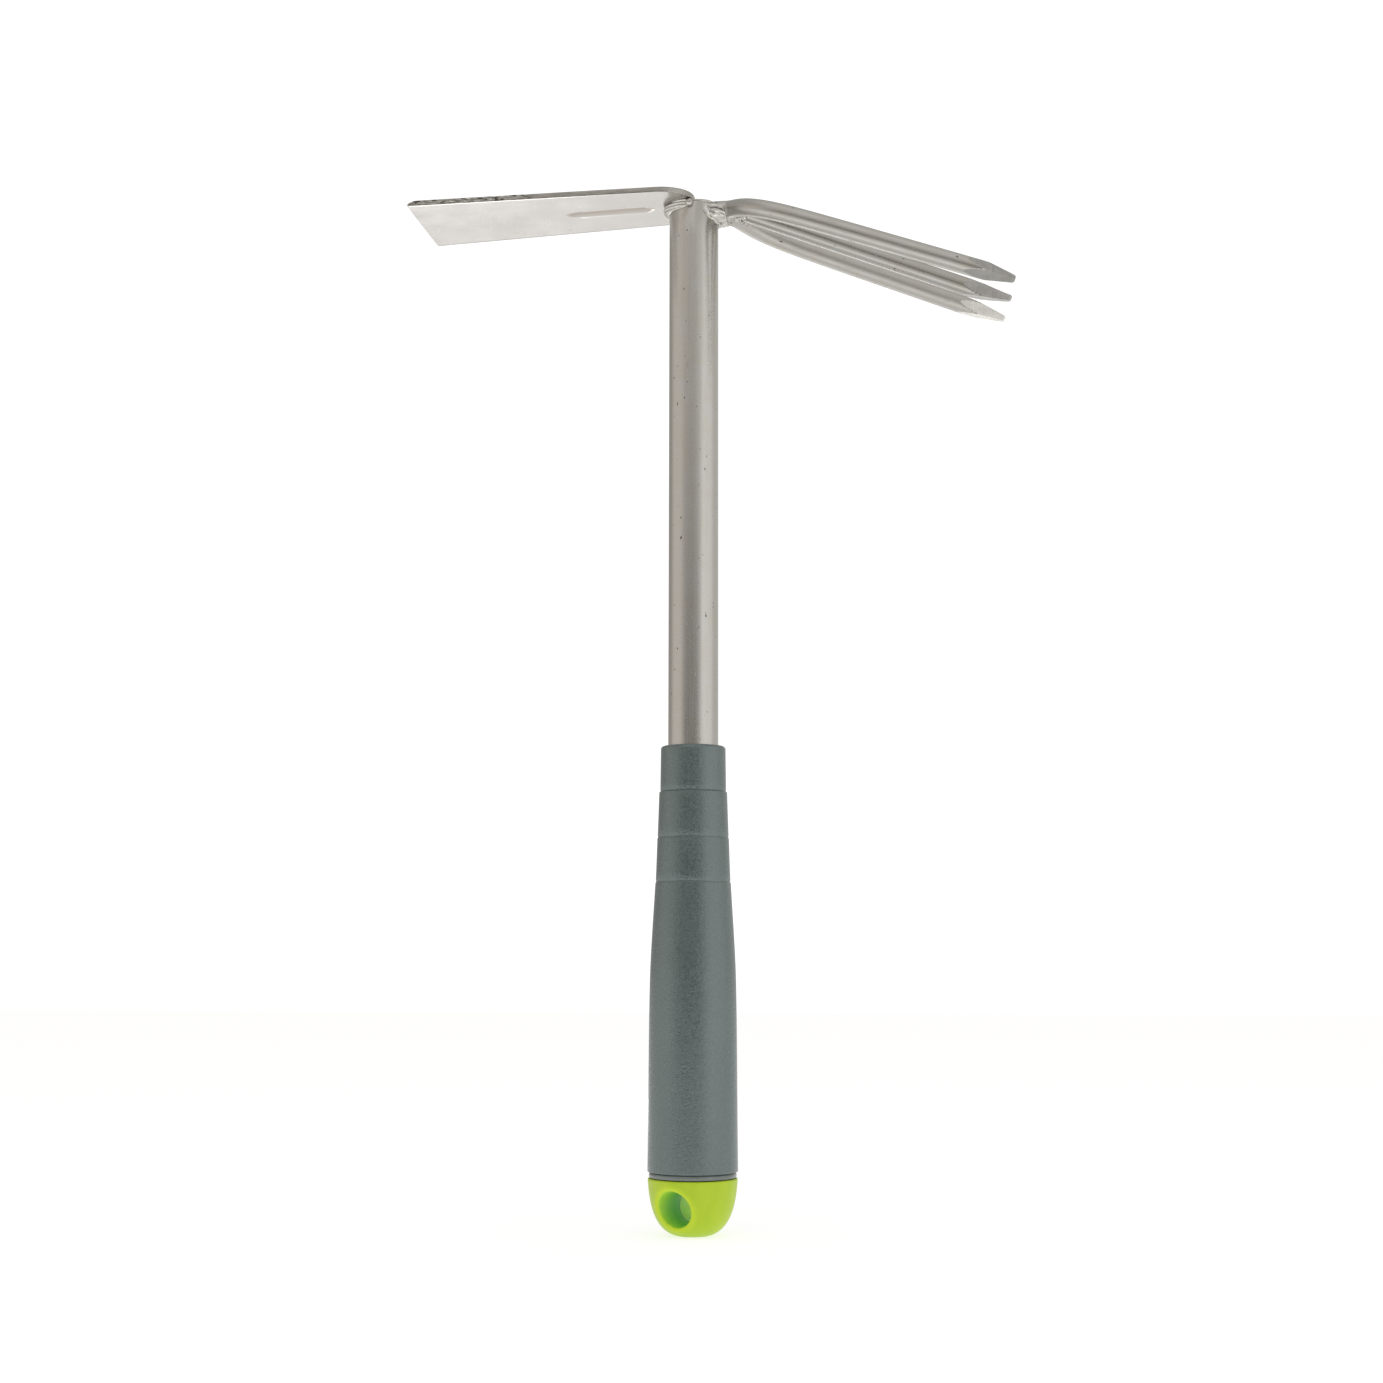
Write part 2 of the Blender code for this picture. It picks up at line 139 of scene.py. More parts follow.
# Handle
GRIP_TOP = high("grip_sleeve").z
GRIP_BOTTOM = low("grip_sleeve").z
CORE_BOTTOM = low("handle_core").z
CORE_TOP = high("handle_core").z
SLEEVE_WALL = 0.0032
GRIP_ROUND = 0.0012
SLEEVE_FOOT_ROUND = 0.0003
COLLAR_SHOULDER = 0.00028       # rounding of a collar's upper edge
SEAM_DEPTH = 0.00009            # fine groove at each collar's foot
SLEEVE_BODY = (                 # (height, radius) of the sleeve's outer side
    (0.0234, 0.01680),
    (0.0422, 0.01665),
    (0.0712, 0.01644),
    (0.0862, 0.01627),
    (0.0972, 0.01602),
    (0.1085, 0.01548),
    (0.1234, 0.01458),
    (0.1300, 0.01417),
)
COLLARS = (                     # (bottom, radius there, top, radius there), from the bottom one up
    (0.1304, 0.01403, 0.1467, 0.01348),
    (0.1471, 0.01336, 0.1640, 0.01282),
    (0.1644, 0.01242, GRIP_TOP, 0.01224),
)
CORE_LEAST_WALL = 0.0010
FLANGE_RADIUS = high("handle_core").x
FLANGE_ROUND = 0.0010
FLANGE_FOOT_ROUND = 0.0002
CORE_LEDGE = 0.0560
SPIGOT_RADIUS = 0.0098
SPIGOT_TOP = high("end_cap").z
TURNED_STEPS = 144

# End cap
CAP_TOP = CORE_BOTTOM - GAP
CAP_RIM_ROUND = 0.0007
CAP_RADIUS = 0.0170
CAP_HEIGHT = 0.04075
CAP_APEX = -0.0003
CAP_ROUNDNESS = 2.9
CAP_FULLNESS = 4.1
HOLE_RADIUS = 0.0066
HOLE_Z = 0.0107
HOLE_TURN = radians(-26)
HOLE_RIM_ROUND = 0.0022
HOLE_WAIST = 0.00045            # the hole narrows by this much towards its middle
PARTING_DEPTH = 0.0008          # how far behind the cap's axis the parting line lies; a dark line of painted shade is put there on the hole's walls, and past it the walls are painted paler, as lit from behind
CAP_STEP = 0.00036              # mesh size

# Camera
CAMERA_PLACE = (0.07339, -0.82689, 0.10412)
CAMERA_TURN = radians(5.12)
CAMERA_RISE = radians(6.75)
CAMERA_ROLL = radians(0.08)
CAMERA_LENS = 57.27


# Mesh tools

def drop_slivers(bm):
    """Keeps only the largest connected shell."""
    left = set(bm.faces)
    shells = []
    while left:
        front = [left.pop()]
        shell = list(front)
        while front:
            for edge in front.pop().edges:
                for face in edge.link_faces:
                    if face in left:
                        left.discard(face)
                        front.append(face)
                        shell.append(face)
        shells.append(shell)
    shells.sort(key=len)
    spare = [face for shell in shells[:-1] for face in shell]
    bmesh.ops.delete(bm, geom=spare, context="FACES")


def mesh_object(name, points, faces, sharp_angle=40, bevel=0.0, one_shell=False):
    """A smooth-shaded object with its faces turned outwards. Its sharp edges can be bevelled."""
    mesh = bpy.data.meshes.new(name)
    mesh.from_pydata([tuple(p) for p in points], [], [tuple(f) for f in faces])
    bm = bmesh.new()
    bm.from_mesh(mesh)
    if one_shell:
        drop_slivers(bm)
    bmesh.ops.recalc_face_normals(bm, faces=bm.faces)
    if bevel:
        bm.normal_update()
        limit = radians(50)
        edges = [e for e in bm.edges if len(e.link_faces) == 2 and e.calc_face_angle(0.0) > limit]
        bmesh.ops.bevel(bm, geom=edges, offset=bevel, segments=2, profile=0.5, affect="EDGES",
                        clamp_overlap=True)
    bm.to_mesh(mesh)
    bm.free()
    mesh.shade_smooth()
    mesh.set_sharp_from_angle(angle=radians(sharp_angle))
    obj = bpy.data.objects.new(name, mesh)
    bpy.context.scene.collection.objects.link(obj)
    return obj


def loft(rings, closed=False):
    """Points and faces of a skin over equal rings; the ends are filled unless it is closed."""
    points = [p for ring in rings for p in ring]
    count = len(rings[0])
    faces = []
    last = len(rings) if closed else len(rings) - 1
    for r in range(last):
        this, after = r * count, (r + 1) % len(rings) * count
        for i in range(count):
            j = (i + 1) % count
            faces.append((this + i, this + j, after + j, after + i))
    if not closed:
        faces.append(tuple(range(count)))
        faces.append(tuple((len(rings) - 1) * count + i for i in range(count)))
    return points, faces


def turned(name, profile, sharp_angle=35):
    """Turns a closed outline of (radius, height) about Z."""
    rings = []
    for step in range(TURNED_STEPS):
        angle = 2 * pi * step / TURNED_STEPS
        rings.append([(r * cos(angle), r * sin(angle), z) for r, z in profile])
    return mesh_object(name, *loft(rings, closed=True), sharp_angle=sharp_angle)


def arc(centre, radius, start, end, count=6):
    """Points (radius, height) on a round corner, from angle start to angle end in degrees."""
    points = []
    for i in range(count):
        angle = radians(start + (end - start) * i / (count - 1))
        points.append((centre[0] + radius * cos(angle), centre[1] + radius * sin(angle)))
    return points


def fill_diagonals(value, level):
    """Fills one corner of each grid square whose inside points touch only across its diagonal.

    Such a square would give the mesh an edge with four faces.
    """
    most_passes = 12
    for _ in range(most_passes):
        changed = 0
        for axis in range(3):
            layers = np.moveaxis(value, axis, 0)
            a, b = layers[:, :-1, :-1], layers[:, 1:, :-1]
            c, d = layers[:, :-1, 1:], layers[:, 1:, 1:]
            falling = (a < 0) & (d < 0) & (b >= 0) & (c >= 0)
            b[falling] = -level
            rising = (b < 0) & (c < 0) & (a >= 0) & (d >= 0)
            a[rising] = -level
            changed += falling.sum() + rising.sum()
        if not changed:
            break


def field_mesh(name, field, lowest, highest, step):
    """A closed mesh where field(points) is zero, from a grid of that step. Inside it is negative."""
    axes = [np.arange(a, b + step, step) for a, b in zip(lowest, highest)]
    grid = np.stack(np.meshgrid(*axes, indexing="ij"), axis=-1)
    value = field(grid)
    fill_diagonals(value, 0.1 * step)
    inside = value < 0
    cells = tuple(n - 1 for n in inside.shape)

    def corner(offset):
        return tuple(slice(o, n + o) for o, n in zip(offset, cells))

    total = np.zeros(cells + (3,))
    hits = np.zeros(cells)
    for axis in range(3):
        for u in (0, 1):
            for v in (0, 1):
                start = [u, v]
                start.insert(axis, 0)
                end = [u, v]
                end.insert(axis, 1)
                a, b = value[corner(start)], value[corner(end)]
                crosses = (a < 0) != (b < 0)
                share = np.where(crosses, a / np.where(crosses, a - b, 1.0), 0.0)[..., None]
                from_point, to_point = grid[corner(start)], grid[corner(end)]
                total += np.where(crosses[..., None], from_point + (to_point - from_point) * share, 0.0)
                hits += crosses
    used = hits > 0
    index = np.full(cells, -1)
    index[used] = np.arange(used.sum())
    points = total[used] / hits[used][:, None]

    faces = []
    for axis in range(3):
        others = [k for k in range(3) if k != axis]
        if axis == 1:
            others.reverse()
        near = [slice(1, n - 1) for n in inside.shape]
        far = list(near)
        near[axis] = slice(0, inside.shape[axis] - 1)
        far[axis] = slice(1, inside.shape[axis])
        first, second = inside[tuple(near)], inside[tuple(far)]
        places = np.argwhere(first != second)
        quad = []
        for db, dc in ((0, 0), (1, 0), (1, 1), (0, 1)):
            cell = places.copy()
            cell[:, others[0]] += db
            cell[:, others[1]] += dc
            quad.append(index[tuple(cell.T)])
        quad = np.stack(quad, axis=1)
        turn = second[tuple(places.T)]
        quad[turn] = quad[turn][:, ::-1]
        faces.append(quad)

    tiny = step * 0.05
    for _ in range(3):
        slope = np.stack([(field(points + tiny * e) - field(points - tiny * e)) / (2 * tiny)
                          for e in np.eye(3)], axis=-1)
        move = -(field(points) / np.maximum((slope ** 2).sum(-1), 0.05))[:, None] * slope
        reach = np.linalg.norm(move, axis=-1, keepdims=True)
        points = points + move * np.minimum(1.0, 0.5 * step / np.maximum(reach, 1e-9))
    return mesh_object(name, points.tolist(), np.concatenate(faces).tolist(), sharp_angle=60,
                       one_shell=True)


def join(a, b, blend):
    """Smooth union of two fields."""
    h = np.clip(0.5 + 0.5 * (b - a) / blend, 0.0, 1.0)
    return b * (1 - h) + a * h - blend * h * (1 - h)


def keep(a, b, blend):
    """Smooth intersection of two fields."""
    return -join(-a, -b, blend)


def waves(p, size):
    """A smooth uneven pattern between -1 and 1, with lumps of about that size."""
    x, y, z = (p[..., k] * (2 * pi / size) for k in range(3))
    pattern = np.sin(x + 1.3 * np.sin(0.7 * y)) + np.sin(y * 1.13 + 1.1 * np.sin(0.8 * z))
    return (pattern + np.sin(z * 0.91 + 1.2 * np.sin(0.9 * x))) / 3


def finish_piece(obj, looks, node):
    """Gives a fine piece its materials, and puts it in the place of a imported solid."""
    for look in looks:
        obj.data.materials.append(look)
    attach(obj, BODY)
    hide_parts(node)


# Shaft

def make_tube():
    inner = TUBE_RADIUS - TUBE_WALL
    e = TUBE_EDGE
    profile = arc((TUBE_RADIUS - e, TUBE_BOTTOM + e), e, -90, 0, 4)
    profile += [(TUBE_RADIUS, TUBE_BOTTOM + (TUBE_TOP - TUBE_BOTTOM) * k / 24) for k in range(1, 24)]
    profile += arc((TUBE_RADIUS - e, TUBE_TOP - e), e, 0, 90, 4)
    profile += arc((inner + e, TUBE_TOP - e), e, 90, 180, 4)
    profile += arc((inner + e, TUBE_BOTTOM + e), e, 180, 270, 4)
    return turned("satin_tube", profile, sharp_angle=50)


# Hoe blade

def smoothstep(t):
    t = min(max(t, 0.0), 1.0)
    return t * t * (3 - 2 * t)


def blade_underside(x):
    return BLADE_UNDERSIDE + x * tan(BLADE_DROOP)


def blade_half_width(x):
    share = (x - BLADE_TIP_X) / (BLADE_ROOT_X - BLADE_TIP_X)
    half = BLADE_TIP_HALF_WIDTH + (BLADE_ROOT_HALF_WIDTH - BLADE_TIP_HALF_WIDTH) * share
    for end, radius in ((BLADE_ROOT_X, BLADE_ROOT_CORNER), (BLADE_TIP_X, BLADE_TIP_CORNER)):
        into = radius - abs(x - end)
        if into > 0:
            half -= radius - sqrt(max(radius * radius - into * into, 0.0))
    return half


def rib_rise(x, y):
    along = (x - RIB_OUTER_X) / (RIB_INNER_X - RIB_OUTER_X)
    if not 0 < along < 1:
        return 0.0
    ends = smoothstep(along / 0.18) * smoothstep((1 - along) / 0.12)
    across = abs(y) / (RIB_HALF_WIDTH * (0.35 + 0.65 * ends))
    return RIB_HEIGHT * ends * (1 - smoothstep(across))


def blade_stations():
    steps = [BLADE_TIP_X + BLADE_TIP_CORNER * (1 - cos(radians(a))) for a in range(0, 91, 15)]
    steps += list(np.linspace(BLADE_TIP_X + BLADE_TIP_CORNER, BLADE_TIP_X + EDGE_BEVEL_LENGTH, 4)[1:])
    steps += list(np.linspace(BLADE_TIP_X + EDGE_BEVEL_LENGTH, RIB_OUTER_X, 90)[1:])
    steps += list(np.linspace(RIB_OUTER_X, RIB_INNER_X, 64)[1:])
    corner = BLADE_ROOT_X - BLADE_ROOT_CORNER
    steps += [RIB_INNER_X + (corner - RIB_INNER_X) * 0.5]
    steps += [corner + BLADE_ROOT_CORNER * sin(radians(a)) for a in range(0, 91, 5)]
    return [float(x) for x in steps]


def burr(x, height):
    """Uneven grinding marks on the front edge, strongest near the tip."""
    strength = smoothstep((BURR_INNER_X - x) / 0.012)
    marks = sin(x * 5200 + 3 * sin(x * 900)) * sin(x * 2300 + height * 9000)
    return BURR_DEPTH * strength * max(0.0, marks)


def make_blade():
    rib = [k / 12 for k in range(-12, 13)]
    plain = [0.25, 0.4, 0.55, 0.7, 0.85, 0.95, 1.0]
    wall = (0.25, 0.5, 0.75)
    rings = []
    for x in blade_stations():
        half = blade_half_width(x)
        from_edge = min((x - BLADE_TIP_X) / EDGE_BEVEL_LENGTH, 1.0)
        thickness = EDGE_THICKNESS + (BLADE_THICKNESS - EDGE_THICKNESS) * from_edge
        near_tip = (BLADE_ROOT_X - x) / (BLADE_ROOT_X - BLADE_TIP_X)
        start = RIB_HALF_WIDTH / half
        sides = [start + (1 - start) * (s - 0.1) / 0.9 for s in plain]
        across = [-s * half for s in sides[::-1]] + [k * RIB_HALF_WIDTH for k in rib]
        across += [s * half for s in sides]
        ring = []
        for y in across:
            ring.append((y, blade_underside(x) + rib_rise(x, y)))
        ring += [(half, blade_underside(x) + thickness * s) for s in wall]
        for y in across[::-1]:
            ring.append((y, blade_underside(x) + rib_rise(x, y) + thickness))
        for s in wall[::-1]:
            ring.append((burr(x, s) - half, blade_underside(x) + thickness * s))
        rake = BLADE_TIP_RAKE * near_tip / BLADE_TIP_HALF_WIDTH
        rings.append([(x + rake * y, y, z) for y, z in ring])
    obj = mesh_object("polished_blade", *loft(rings), bevel=0.00022)
    for face in obj.data.polygons:
        face.material_index = int(abs(face.normal.z) < 0.35)
    return obj


# Fork

def ramp(x, start, softness):
    """Grows like x - start once x is past start, with a soft beginning."""
    return softness * log(1 + exp((x - start) / softness))


def tine_centre(x, side):
    flare = ramp(x, FLARE_START_X, FLARE_SOFTNESS)
    offset = ROOT_OFFSET + FLARE_SIZE * (1 - exp(-flare / FLARE_LENGTH)) + FLARE_TAPER * flare
    drop = TINE_SLOPE * ramp(x, BEND_X, BEND_SOFTNESS)
    if side == 0:
        drop += (MIDDLE_SLOPE - TINE_SLOPE) * (x - MIDDLE_MEETS_X)
    return Vector((x, side * offset, TINE_ROOT_Z - drop))


def tube_wall(y):
    """How far out in X the tube's wall is, with the contact gap."""
    return sqrt(max((TUBE_RADIUS + CONTACT) ** 2 - y ** 2, 0.0))


def tine_stations(root, tip):
    """Where along X a prong's rings lie: closest together in the bend and on the point."""
    bend, flare, straight, point = 0.0138, 0.0304, 0.0575, tip - POINT_LENGTH
    places = list(np.arange(root, bend - 0.0002, 0.0007))
    places += list(np.arange(bend, flare - 0.0004, 0.00035))
    places += list(np.linspace(flare, straight - 0.0015, 30))
    places += list(np.linspace(straight, point - 0.0006, 34))
    places += list(np.linspace(point - 0.0002, tip, 72))
    return [float(x) for x in places if x >= root]


def make_tine(name, side, root, tip, roll, lift):
    """A drawn rod with a ground point. The outer ones end on the tube's wall."""
    rings = []
    ground = []
    taper = (TINE_RADIUS - POINT_HALF_SIZE) / POINT_LENGTH
    for x in tine_stations(root, tip):
        along = (tine_centre(x + 1e-4, side) - tine_centre(x - 1e-4, side)).normalized()
        across = Vector((0, 0, 1)).cross(along).normalized()
        upward = along.cross(across)
        into_point = max(0.0, 1 - (tip - x) / POINT_LENGTH)
        centre = tine_centre(x, side) + lift * into_point ** 2 * upward
        flat = POINT_HALF_SIZE + taper * (tip - x)
        limit = TINE_RADIUS
        if side == 0:
            limit -= ROOT_TAPER * max(0.0, 1 - (x - root) / ROOT_TAPER_LENGTH)
        if tip - x < 1.5 * TIP_EDGE:
            flat -= TIP_EDGE
        ring = []
        for i in range(TINE_SIDES):
            angle = roll + 2 * pi * i / TINE_SIDES
            to_flat = (angle - roll + pi / 4) % (pi / 2) - pi / 4
            radius = min(limit, flat / cos(to_flat))
            ground.append(flat / cos(to_flat) <= limit)
            point = centre + radius * (cos(angle) * across + sin(angle) * upward)
            if side:
                point.x = max(point.x, tube_wall(point.y))
            ring.append(point)
        rings.append(ring)
    if side:
        outside = drop_doubles(rings)
        ground = ground[(len(rings) - len(outside)) * TINE_SIDES:]
        end = saddle(outside[0])
        ground = [False] * (len(end) * TINE_SIDES) + ground
        rings = end + outside
    obj = mesh_object(name.replace("tine", "drawn_prong"), *loft(rings), sharp_angle=14)
    for face in obj.data.polygons:
        face.material_index = int(all(ground[v] for v in face.vertices))
    return obj


def drop_doubles(rings):
    """Starts at the last ring that still lies on the tube's wall all round, so no faces double up."""
    first = 0
    for i, ring in enumerate(rings):
        if all(p.x <= tube_wall(p.y) + 1e-7 for p in ring):
            first = i
    spread = []
    for i, ring in enumerate(rings[first:]):
        if i < ROOT_RINGS:
            ahead = rings[first + ROOT_RINGS]
            ring = [a.lerp(b, i / ROOT_RINGS) for a, b in zip(rings[first], ahead)]
        spread.append(ring)
    return spread


def saddle(outline):
    """Rings that fill a prong's end inside its outline and follow the tube's wall."""
    middle = sum(outline, Vector((0, 0, 0))) / len(outline)
    rings = []
    for share in (0.04, 0.2, 0.4, 0.6, 0.8, 0.92):
        ring = [middle.lerp(p, share) for p in outline]
        for point in ring:
            point.x = tube_wall(point.y)
        rings.append(ring)
    return rings


# Weld metal

def tube_field(p):
    return np.hypot(p[..., 0], p[..., 1]) - TUBE_RADIUS - CONTACT


def rod_field(p, side, grow):
    """Distance to a prong's rod, from the centre line at the same x."""
    x = p[..., 0]
    flare = FLARE_SOFTNESS * np.log1p(np.exp(np.minimum((x - FLARE_START_X) / FLARE_SOFTNESS, 60)))
    fall = BEND_SOFTNESS * np.log1p(np.exp(np.minimum((x - BEND_X) / BEND_SOFTNESS, 60)))
    offset = ROOT_OFFSET + FLARE_SIZE * (1 - np.exp(-flare / FLARE_LENGTH)) + FLARE_TAPER * flare
    bend_in = 1 / (1 + np.exp(-(x - FLARE_START_X) / FLARE_SOFTNESS))
    tilt_y = bend_in * (FLARE_SIZE / FLARE_LENGTH * np.exp(-flare / FLARE_LENGTH) + FLARE_TAPER)
    tilt_y = tilt_y * abs(side)
    tilt_z = TINE_SLOPE / (1 + np.exp(-(x - BEND_X) / BEND_SOFTNESS))
    dy = (p[..., 1] - side * offset) / np.sqrt(1 + tilt_y ** 2)
    drop = TINE_SLOPE * fall
    if side == 0:
        drop = drop + (MIDDLE_SLOPE - TINE_SLOPE) * (x - MIDDLE_MEETS_X)
    dz = (p[..., 2] - TINE_ROOT_Z + drop) / np.sqrt(1 + tilt_z ** 2)
    return np.hypot(dy, dz) - TINE_RADIUS - grow


def blade_bead(p):
    """Bead in the corner under the blade: ridges run along it, and it ends in small craters."""
    x, y, z = p[..., 0], p[..., 1], p[..., 2]
    angle = np.abs(np.arctan2(y, -x))
    out = np.hypot(x, y) - TUBE_RADIUS
    below = BLADE_UNDERSIDE + x * tan(BLADE_DROOP) - z
    ends = np.sqrt(1 - np.clip(angle / BLADE_BEAD_SPREAD, 0, 1) ** 7)
    reach = 0.0008 + 0.0013 * np.exp(-(angle / radians(38)) ** 2)
    reach = reach * (0.35 + 0.65 * ends)
    tall = BLADE_BEAD_HEIGHT * (0.45 + 0.55 * ends)
    ridges = 0.00022 * np.sin((below - 0.0009 * angle) * 5600) + 0.00008 * np.sin(angle * 46)
    bead = np.hypot(out / (reach + ridges), (below - 0.0013) / tall) - 1
    bead = bead * np.minimum(reach, tall)
    crater = np.hypot(x + 0.0009, np.hypot(np.abs(y) - 0.0100, below - 0.0016))
    bead = join(bead, crater - CRATER_RADIUS, 0.0005)
    pit = np.hypot(x + 0.0002, np.hypot(np.abs(y) - 0.0113, below - 0.0012))
    bead = keep(bead, PIT_RADIUS - pit, 0.0003)
    bead = keep(bead, x - BLADE_ROOT_X, 0.0003)
    return np.maximum(np.maximum(bead, CONTACT - out), CONTACT - below)


def root_bead(p):
    """Fillets round the outer prongs where they meet the tube, thinning out along the prongs."""
    wall = np.sqrt(np.maximum(TUBE_RADIUS ** 2 - p[..., 1] ** 2, 0.0))
    away = np.maximum(p[..., 0] - wall, 0.0)
    field = None
    for side in (-1, 1):
        y = p[..., 1] - side * ROOT_OFFSET
        z = p[..., 2] - TINE_ROOT_Z
        turn = np.arctan2(z, side * y)
        ripple = 0.00030 * np.abs(np.sin(turn * 2.6 + away * 420)) + 0.00012 * waves(p, 0.0030)
        thick = 0.00115 * np.exp(-(away / 0.0017) ** 2) + 0.00036 + ripple
        thick = thick - 0.00050 * np.exp(-((away - 0.0011) / 0.00028) ** 2)
        ring = np.hypot(y * 0.97, z) - TINE_RADIUS - thick
        field = ring if field is None else join(field, ring, 0.0008)
    lean = 0.30 * np.clip(p[..., 2] - TINE_ROOT_Z + 0.0040, 0, 1)
    field = keep(field, p[..., 0] - COLLAR_END_X + lean, 0.0008)
    field = keep(field, 0.0030 - p[..., 0], 0.0006)
    field = keep(field, p[..., 2] - COLLAR_TOP - 0.0012, 0.0010)
    for side in (-1, 1):
        field = np.maximum(field, -rod_field(p, side, CONTACT))
    return np.maximum(field, -tube_field(p))


def pool(p):
    """Frozen weld pool on the open half of the tube's end."""
    x, y, z = p[..., 0], p[..., 1], p[..., 2]
    from_middle = np.hypot(x - 0.0046, y * 0.62) / 0.0058
    rings = 0.00004 * np.sin(np.hypot(x - 0.0085, y) * 5200) + 0.00010 * waves(p, 0.0026)
    top = POOL_EDGE + (POOL_CROWN - POOL_EDGE) * np.clip(1 - from_middle ** 2, 0, 1) + rings
    field = z - TUBE_TOP - GAP - top
    field = keep(field, np.hypot(x, y) - TUBE_RADIUS + 0.0001, 0.0006)
    field = keep(field, BLADE_ROOT_X + CONTACT - x, 0.0003)
    return np.maximum(field, TUBE_TOP + CONTACT - z)


def crotch(p):
    """Lumps of weld in the crotch of the outer prongs, in front of the middle one."""
    x, y, z = p[..., 0], p[..., 1], p[..., 2]
    fall = BEND_SOFTNESS * TINE_SLOPE * np.log1p(np.exp((x - BEND_X) / BEND_SOFTNESS))
    height = z - (TINE_ROOT_Z - fall)
    along = (x - CROTCH_START_X) / (CROTCH_END_X - CROTCH_START_X)
    ripple = 0.00022 * np.sin(x * 5600) + 0.00014 * waves(p, 0.0016)
    field = np.abs(height + 0.0002) - (0.0026 - 0.0006 * np.clip(along, 0, 1) ** 2 + ripple)
    wide = 0.0011 + np.maximum(x - CROTCH_START_X, 0.0) * 0.95
    field = keep(field, np.abs(y) - wide, 0.0010)
    field = keep(field, x - CROTCH_END_X, 0.0009)
    field = keep(field, CROTCH_START_X - x, 0.0006)
    for side in (-1, 0, 1):
        rod = rod_field(p, side, CONTACT)
        if side == 0:
            root = tine_centre(MIDDLE_ROOT_X, 0)
            behind_root = (root.x - x) + MIDDLE_SLOPE * (z - root.z)
            rod = np.maximum(rod, behind_root - CONTACT)
        field = np.maximum(field, -rod)
    return field


def make_welds():
    """Each bead by its node. The corners are those of a box that holds it with room to spare."""
    reach = TUBE_RADIUS + 0.0034
    beads = (
        ("blade_weld", "blade_bead", blade_bead, (-reach, -reach, 0.3868), (0.0018, reach, 0.3934)),
        ("tine_weld", "root_bead", root_bead, (0.0016, -0.0098, 0.3838), (0.0146, 0.0098, 0.3928)),
        ("top_weld", "frozen_pool", pool, (0.0004, -0.0102, 0.3917), (0.0104, 0.0102, 0.3943)),
        ("crotch_weld", "crotch_bead", crotch, (0.0138, -0.0080, 0.3836), (0.0216, 0.0080, 0.3936)),
    )
    return {node: field_mesh(name, field, lowest, highest, WELD_STEP)
            for node, name, field, lowest, highest in beads}


# Handle

def sleeve_radius(z):
    """The sleeve's outer radius below the collars: a smooth curve through its stations."""
    heights = [h for h, _ in SLEEVE_BODY]
    radii = [r for _, r in SLEEVE_BODY]
    last = len(radii) - 1
    slopes = []
    for i in range(last + 1):
        before, after = max(i - 1, 0), min(i + 1, last)
        slopes.append((radii[after] - radii[before]) / (heights[after] - heights[before]))
    i = max(k for k in range(last) if heights[k] <= max(z, heights[0]))
    span = heights[i + 1] - heights[i]
    t = (z - heights[i]) / span
    return ((2 * t ** 3 - 3 * t ** 2 + 1) * radii[i] + (t ** 3 - 2 * t ** 2 + t) * span * slopes[i]
            + (3 * t ** 2 - 2 * t ** 3) * radii[i + 1] + (t ** 3 - t ** 2) * span * slopes[i + 1])


def sleeve_outer():
    """Outer side as (radius, height), with a rounded shoulder and a fine groove at each collar."""
    foot = SLEEVE_BODY[0][1]
    outline = arc((foot - SLEEVE_FOOT_ROUND, GRIP_BOTTOM + SLEEVE_FOOT_ROUND), SLEEVE_FOOT_ROUND, -90, 0)
    shoulder = SLEEVE_BODY[-1][0]
    for z in np.linspace(GRIP_BOTTOM + 0.0015, shoulder - COLLAR_SHOULDER, 60):
        outline.append((sleeve_radius(z), z))
    outline += round_off(sleeve_radius(shoulder), shoulder)
    for bottom, low_radius, top, high_radius in COLLARS:
        outline.append((low_radius - SEAM_DEPTH, bottom - 0.0001))
        outline.append((low_radius - SEAM_DEPTH, bottom + 0.0002))
        outline.append((low_radius, bottom + 0.0005))
        last = top == GRIP_TOP
        rounding = GRIP_ROUND if last else COLLAR_SHOULDER
        for share in (0.2, 0.4, 0.6, 0.8):
            z = bottom + (top - rounding - bottom) * share
            outline.append((low_radius + (high_radius - low_radius) * share, z))
        if last:
            outline += arc((high_radius - rounding, top - rounding), rounding, 0, 90, 8)
        else:
            outline += round_off(high_radius, top)
    return outline


def round_off(radius, top):
    return arc((radius - COLLAR_SHOULDER, top - COLLAR_SHOULDER), COLLAR_SHOULDER, 0, 70, 5)


def core_radius(z):
    """The core follows the sleeve, but keeps its own wall round the steel tube."""
    stations = [(r, h) for h, r in SLEEVE_BODY]
    for bottom, low_radius, top, high_radius in COLLARS:
        stations += [(low_radius, bottom), (high_radius, top)]
    outer = float(np.interp(z, [h for _, h in stations], [r for r, _ in stations]))
    return max(outer - SLEEVE_WALL, TUBE_RADIUS + GAP + CORE_LEAST_WALL)


def make_sleeve():
    bore = TUBE_RADIUS + GAP
    inner = [(bore, GRIP_TOP - 0.0002), (bore, CORE_TOP + GAP)]
    for z in np.linspace(CORE_TOP + GAP, GRIP_BOTTOM, 24):
        inner.append((core_radius(z) + GAP, z))
    return turned("grip_skin", sleeve_outer() + inner)


